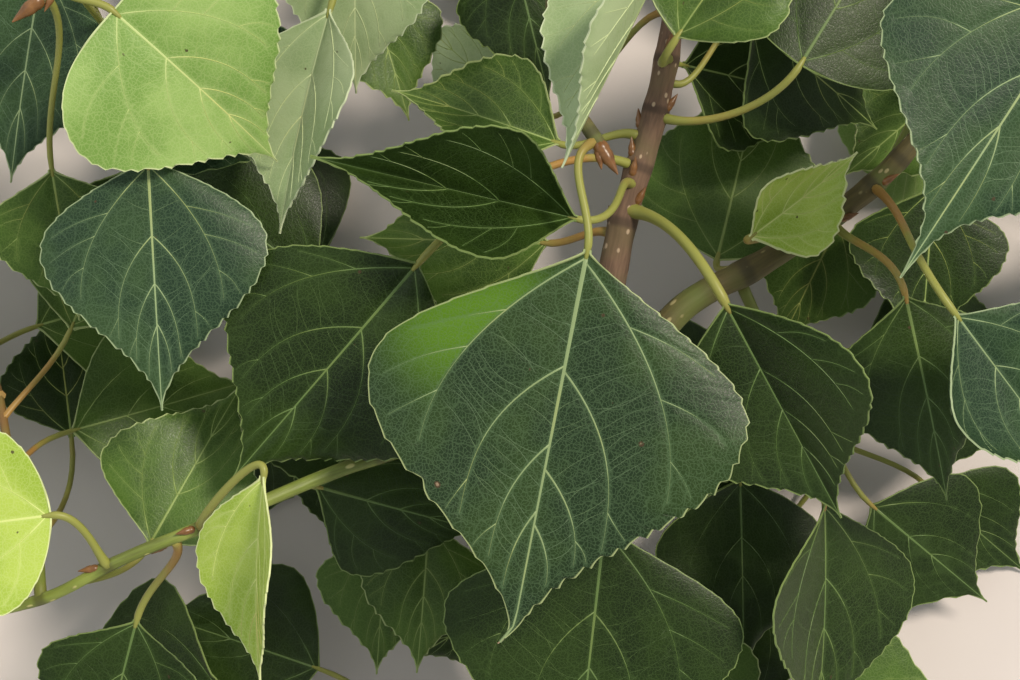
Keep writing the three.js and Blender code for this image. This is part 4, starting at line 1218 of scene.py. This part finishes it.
stem = LIMBS["main_stem"]
bpy.ops.mesh.primitive_circle_add(vertices=CUT_SIDES, radius=CUT_RADIUS / METRE, fill_type="NGON")
cut = bpy.context.object
cut.name = "cut_end"
bpy.ops.object.mode_set(mode="EDIT")
bpy.ops.mesh.select_all(action="SELECT")
bpy.ops.mesh.extrude_region_move(TRANSFORM_OT_translate={"value": (0, 0, CUT_THICKNESS / METRE)})
for _ in range(CUT_STEPS):
    bpy.ops.mesh.inset(thickness=CUT_RADIUS / (CUT_STEPS + 1) / METRE)
close_mesh(smooth=1)
flat = np.array([list(vertex.co) for vertex in cut.data.vertices]) * METRE * (1, 1, 0)
note_points(cut, "cut_mm", flat)
way = -heading_at(stem["path"], 0)
cut.data.transform(Vector(way).to_track_quat("Z", "Y").to_matrix().to_4x4())
cut.data.transform(Matrix.Translation(Vector(to_metres(stem["path"][0] + way * CUT_GAP))))
finish_piece(cut, ["main_stem"], [fresh_wood])

# Leafy twigs that fill the branch out: a thin stem that wavers and sags, with
# leaves that turn round it by a fixed angle. They follow the rule that the
# solids follow, so each leaf is where the solid has it.
HIGHEST = 58.0  # of their leaves, which stay among and below the named ones
LOWEST = 0.6

# A row holds the limb and where the twig leaves it, its heading, slope and
# length, how many leaves it may bear and how long they are, its seed and the tone.
# The deep and bright tones are painted shade and painted sunlight.
TWIGS = {
    "twig_top": ("main_stem", 1, 92, -8, 24, 6, 41, 11, "mid"),
    "twig_top_left": ("main_stem", 0.86, 146, -12, 66, 9, 44, 23, "deep"),
    "twig_top_right": ("main_stem", 0.8, 42, -14, 54, 8, 43, 31, "deep"),
    "twig_top_below": ("main_stem", 0.7, 112, -38, 62, 8, 42, 43, "deep"),
    "twig_right_tip": ("right_shoot", 1, 66, -12, 22, 5, 38, 59, "mid"),
    "twig_right_low": ("right_shoot", 0.62, -8, -26, 50, 8, 40, 67, "mid"),
    "twig_right_below": ("right_shoot", 0.5, 68, -34, 54, 8, 40, 71, "bright"),
    "twig_bottom_right": ("main_stem", 0.3, -62, -14, 66, 8, 45, 83, "mid"),
    "twig_bottom_left": ("main_stem", 0.24, -160, -10, 78, 9, 46, 97, "deep"),
    "twig_left_tip": ("left_shoot", 1, 188, -16, 18, 5, 36, 103, "bright"),
    "twig_left_below": ("left_shoot", 0.72, 112, -34, 72, 9, 43, 113, "mid"),
    "twig_middle_below": ("main_stem", 0.35, 160, -34, 78, 9, 42, 141, "deep"),
    "twig_centre_below": ("right_shoot", 0.24, -52, -36, 60, 8, 42, 131, "deep"),
    "twig_upper_left_below": ("upper_left_shoot", 0.62, 216, -40, 66, 8, 42, 139, "glaucous"),
}
TWIG_RADIUS = 1.3
TWIG_TAPER = 0.45
TWIG_KNOTS = 4
TWIG_RINGS = 25
TWIG_SIDES = 8
TWIG_SWING = 9  # either way at each knot
TWIG_SAG = 2  # at each knot
TWIG_AIM = 20  # how far off the point is that it sets out for
TWIG_CLEARS_FLOOR = 1.0
FIRST_LEAF = 0.18  # share of a twig below its leaves
FIRST_TURN = 37  # of a twig's first leaf, for each 1 of its seed
LEAF_TURN = 144  # from each leaf to the next
LEAF_LEAN = 52
TWIG_LEAF_SIZE = (0.82, 1.12)  # share of the length that the twig's row gives
TWIG_LEAF_SWING = (-32, 32)  # of a blade, from the way of its stalk
TWIG_LEAF = {
    "rise": (-28, 8), "roll": (-26, 26), "width": (0.42, 0.48), "shoulder": (0.3, 0.38), "flare": (0.7, 1.3),
    "fall": (2, 3), "fold": (-4, 14), "curl": (-26, 6), "droop": (4, 22), "ripple": (0.4, 1.2),
}
STALK_SHARE = 0.62  # of the blade's length
CLEARANCE = 4.0  # of a leaf from other leaves and from stems
TRIES = 6  # for a free place, or else the leaf is left out
TWIG_STALK = 0.62
TWIG_STALK_MESH = (9, 6)
TWIG_LEAF_MESH = (16, 36)
TWIG_WOOD = 3  # its material among a twig's strands
LIMB_SAMPLES = 60
STALK_SAMPLES, ROWS, COLUMNS = 4, 8, 4  # of a leaf: on its stalk, along its blade and out on each half

# Bark of this year's twigs: smooth and olive, browned in places.
twig_bark = stalk_skin("young_twig_bark", ("#6f7a34", "#7a5a34"), 0.55)
numbers = count(len(LEAVES))
taken = []


def leaf_samples(leaf):
    """Points spread over a leaf, that stand for it when clearances are tested."""
    on, out = np.arange(ROWS + 1) / ROWS, np.arange(-COLUMNS, COLUMNS + 1) / COLUMNS
    s, v = np.meshgrid(on, out, indexing="ij")
    blade = blade_surface(leaf, s.ravel(), v.ravel())[0]
    stalk = stalk_point(leaf, np.arange(1, STALK_SAMPLES + 1) / (STALK_SAMPLES + 1))
    return np.concatenate([stalk, blade])


def is_free(samples):
    """Whether points keep clear of the stems and of the leaves that have found their place."""
    for others, spare in taken:
        limit = CLEARANCE + spare
        low, high = others.min(0) - limit, others.max(0) + limit
        near = samples[((samples > low) & (samples < high)).all(1)]
        if len(near) and (np.linalg.norm(near[:, None] - others[None], axis=2) < limit).any():
            return False
    return True


def grow(leaf, samples, mesh_size, stalk_mesh, detail):
    """The blade of a leaf that has found its place, and the strands of its veins and stalk."""
    taken.append((samples, 0))
    leaf["number"] = next(numbers)
    lines = vein_lines(leaf, leaf["number"] + 1, detail)
    blade = make_blade("leaf", leaf, mesh_size, lines)
    return blade, [*vein_strands(leaf, lines), stalk_strand(leaf, *stalk_mesh, TWIG_STALK)]


def drawn(ranges, draw):
    """A value from each range, or two where the right and left halves of a blade differ."""
    return {
        key: (draw(*span), draw(*span)) if key in ("fold", "curl") else draw(*span)
        for key, span in ranges.items()
    }


def twig_leaf(blade_length, foot, out, draw):
    """One leaf of a twig, drawn at random and raised clear of the floor."""
    length = blade_length * draw(*TWIG_LEAF_SIZE)
    heading = math.degrees(math.atan2(out[1], out[0])) + draw(*TWIG_LEAF_SWING)
    base = foot + out * length * STALK_SHARE
    leaf = {"foot": foot, "out": out, "base": base, "length": length, "heading": heading}
    leaf.update(drawn(TWIG_LEAF, draw))
    leaf["base"] = base + UP * max(0, LOWEST - leaf_samples(leaf)[:, 2].min())
    return leaf


for limb in LIMBS.values():
    for u in (i / LIMB_SAMPLES for i in range(LIMB_SAMPLES + 1)):
        taken.append((along(limb["path"], u)[None], radius_at(limb, u)))
for leaf in LEAVES.values():
    taken.append((leaf_samples(leaf), 0))

twig_stems = []
for name, (limb_name, at, heading, rise, length, leaves, blade_length, seed, tone) in TWIGS.items():
    draw = seeded(seed)
    limb = LIMBS[limb_name]
    aim = along(limb["path"], at) + direction(heading, rise) * TWIG_AIM
    foot, out = foot_on(limb, at, aim)
    path = [foot]
    for i in range(1, TWIG_KNOTS + 1):
        swing = direction(heading + draw(-TWIG_SWING, TWIG_SWING), rise - TWIG_SAG * i)
        path.append(path[-1] + swing * length / TWIG_KNOTS)
    for point in path:
        point[2] = max(point[2], TWIG_RADIUS + TWIG_CLEARS_FLOOR)
    blades, strands = [], []
    for i in range(leaves):
        u = min(FIRST_LEAF + (1 - FIRST_LEAF) * (i + 1) / leaves, 1)
        on_stem, axis = along(path, u), heading_at(path, u)
        radial = turned(square_to(UP, axis), axis, seed * FIRST_TURN + i * LEAF_TURN)
        stalk_way = axis * math.cos(math.radians(LEAF_LEAN)) + radial * math.sin(math.radians(LEAF_LEAN))
        for _ in range(TRIES):
            leaf = twig_leaf(blade_length, on_stem, stalk_way, draw)
            samples = leaf_samples(leaf)[2:]  # without those near the foot of the stalk
            misplaced = (samples[:, 2] < LOWEST - 1e-9) | (samples[:, 2] > HIGHEST)
            if not misplaced.any() and is_free(samples):
                blade, ribs = grow(leaf, samples, TWIG_LEAF_MESH, TWIG_STALK_MESH, PLAIN)
                blades.append(blade)
                strands += ribs
                break
    shares = np.linspace(0, 1, TWIG_RINGS)
    centres = np.array([along(path, u) for u in shares])
    twig_stems.append((centres.copy(), TWIG_RADIUS))
    centres[0] = centres[0] - out * STALK_SUNK
    up = np.array([square_to(UP, heading_at(path, u)) for u in shares])
    radius = TWIG_RADIUS * (1 - TWIG_TAPER * shares)
    strands.append((centres, up, radius, radius, radius, TWIG_SIDES, TWIG_WOOD))
    finish_piece(join_pieces(name + "_blades", blades), [name], blade_skins[tone])
    finish_piece(make_strands(name + "_stems", strands), [name], [*strand_skins[tone], twig_bark])

# Inner leaves: smaller ones that hang low in the crown, on long stalks from the
# stems, and shade what would otherwise be bare between the leaves above. A spot
# where no try finds a free place stays bare. Their deep tone is painted shade.
INNER_LEAVES = (  # limb, share of its length, where in plan the middle of the blade hangs, and the tone
    ("upper_left_shoot", 0.33, (-22, 56), "mid"),
    ("main_stem", 0.68, (-8, 66), "pale"),
    ("main_stem", 0.66, (45, 50), "deep"),
    ("main_stem", 0.62, (62, 52), "deep"),
    ("upper_left_shoot", 0.97, (-98, 22), "mid"),
    ("upper_left_shoot", 0.9, (-84, 30), "deep"),
    ("left_shoot", 0.85, (-97, -8), "deep"),
    ("left_shoot", 0.66, (-72, -30), "mid"),
    ("right_shoot", 0.42, (70, 14), "mid"),
    ("right_shoot", 0.56, (92, 20), "deep"),
    ("main_stem", 0.33, (-32, -58), "mid"),
    ("main_stem", 0.56, (32, 22), "deep"),
    ("right_shoot", 0.7, (84, 44), "mid"),
    ("main_stem", 0.28, (-14, -62), "deep"),
)
INNER_SEED = 2027
INNER_TRIES = 160
INNER_HEIGHT = (14, 62)
INNER_LENGTH = (30, 42)
INNER_RISE = (-22, 0)
INNER_STRAY = (-7, 7)
INNER_LEAF = {
    "roll": (-14, 14), "width": (0.43, 0.48), "shoulder": (0.3, 0.36),
    "fold": (-4, 10), "curl": (-22, 4), "droop": (4, 18), "ripple": (0.4, 1.1),
}
INNER_ONWARD = 0.25  # a blade goes on the way that its stalk came, as the cosine between them
INNER_LEAF_MESH = (34, 60)
INNER_STALK_MESH = (18, 8)
BLADE_MIDDLE = 0.42  # share of its length


def inner_leaf(limb, at, spot, draw):
    """A leaf whose blade hangs near a spot in plan, drawn at random."""
    length, heading, rise = draw(*INNER_LENGTH), draw(0, 360), draw(*INNER_RISE)
    middle = np.array([spot[0] + draw(*INNER_STRAY), spot[1] + draw(*INNER_STRAY), draw(*INNER_HEIGHT)])
    leaf = {"length": length, "heading": heading, "rise": rise, **drawn(INNER_LEAF, draw)}
    leaf["base"] = middle - direction(heading, rise) * length * BLADE_MIDDLE
    leaf["foot"], leaf["out"] = foot_on(limb, at, leaf["base"])
    return leaf


taken += twig_stems
draw = seeded(INNER_SEED)
by_tone, stalks = {}, []
for limb_name, at, spot, tone in INNER_LEAVES:
    for _ in range(INNER_TRIES):
        leaf = inner_leaf(LIMBS[limb_name], at, spot, draw)
        samples = leaf_samples(leaf)[1:]  # without the one near the foot of the stalk
        onward = unit(leaf["base"] - leaf["foot"]) @ blade_axes(leaf)[0]
        if onward >= INNER_ONWARD and (samples[:, 2] >= LOWEST).all() and is_free(samples):
            blade, ribs = grow(leaf, samples, INNER_LEAF_MESH, INNER_STALK_MESH, BRANCHED)
            by_tone.setdefault(tone, []).append(blade)
            stalks += ribs
            break
for tone, blades in by_tone.items():
    finish_piece(join_pieces("inner_leaves_" + tone, blades), [], blade_skins[tone])
finish_piece(make_strands("inner_leaf_stalks", stalks), [], strand_skins["mid"])
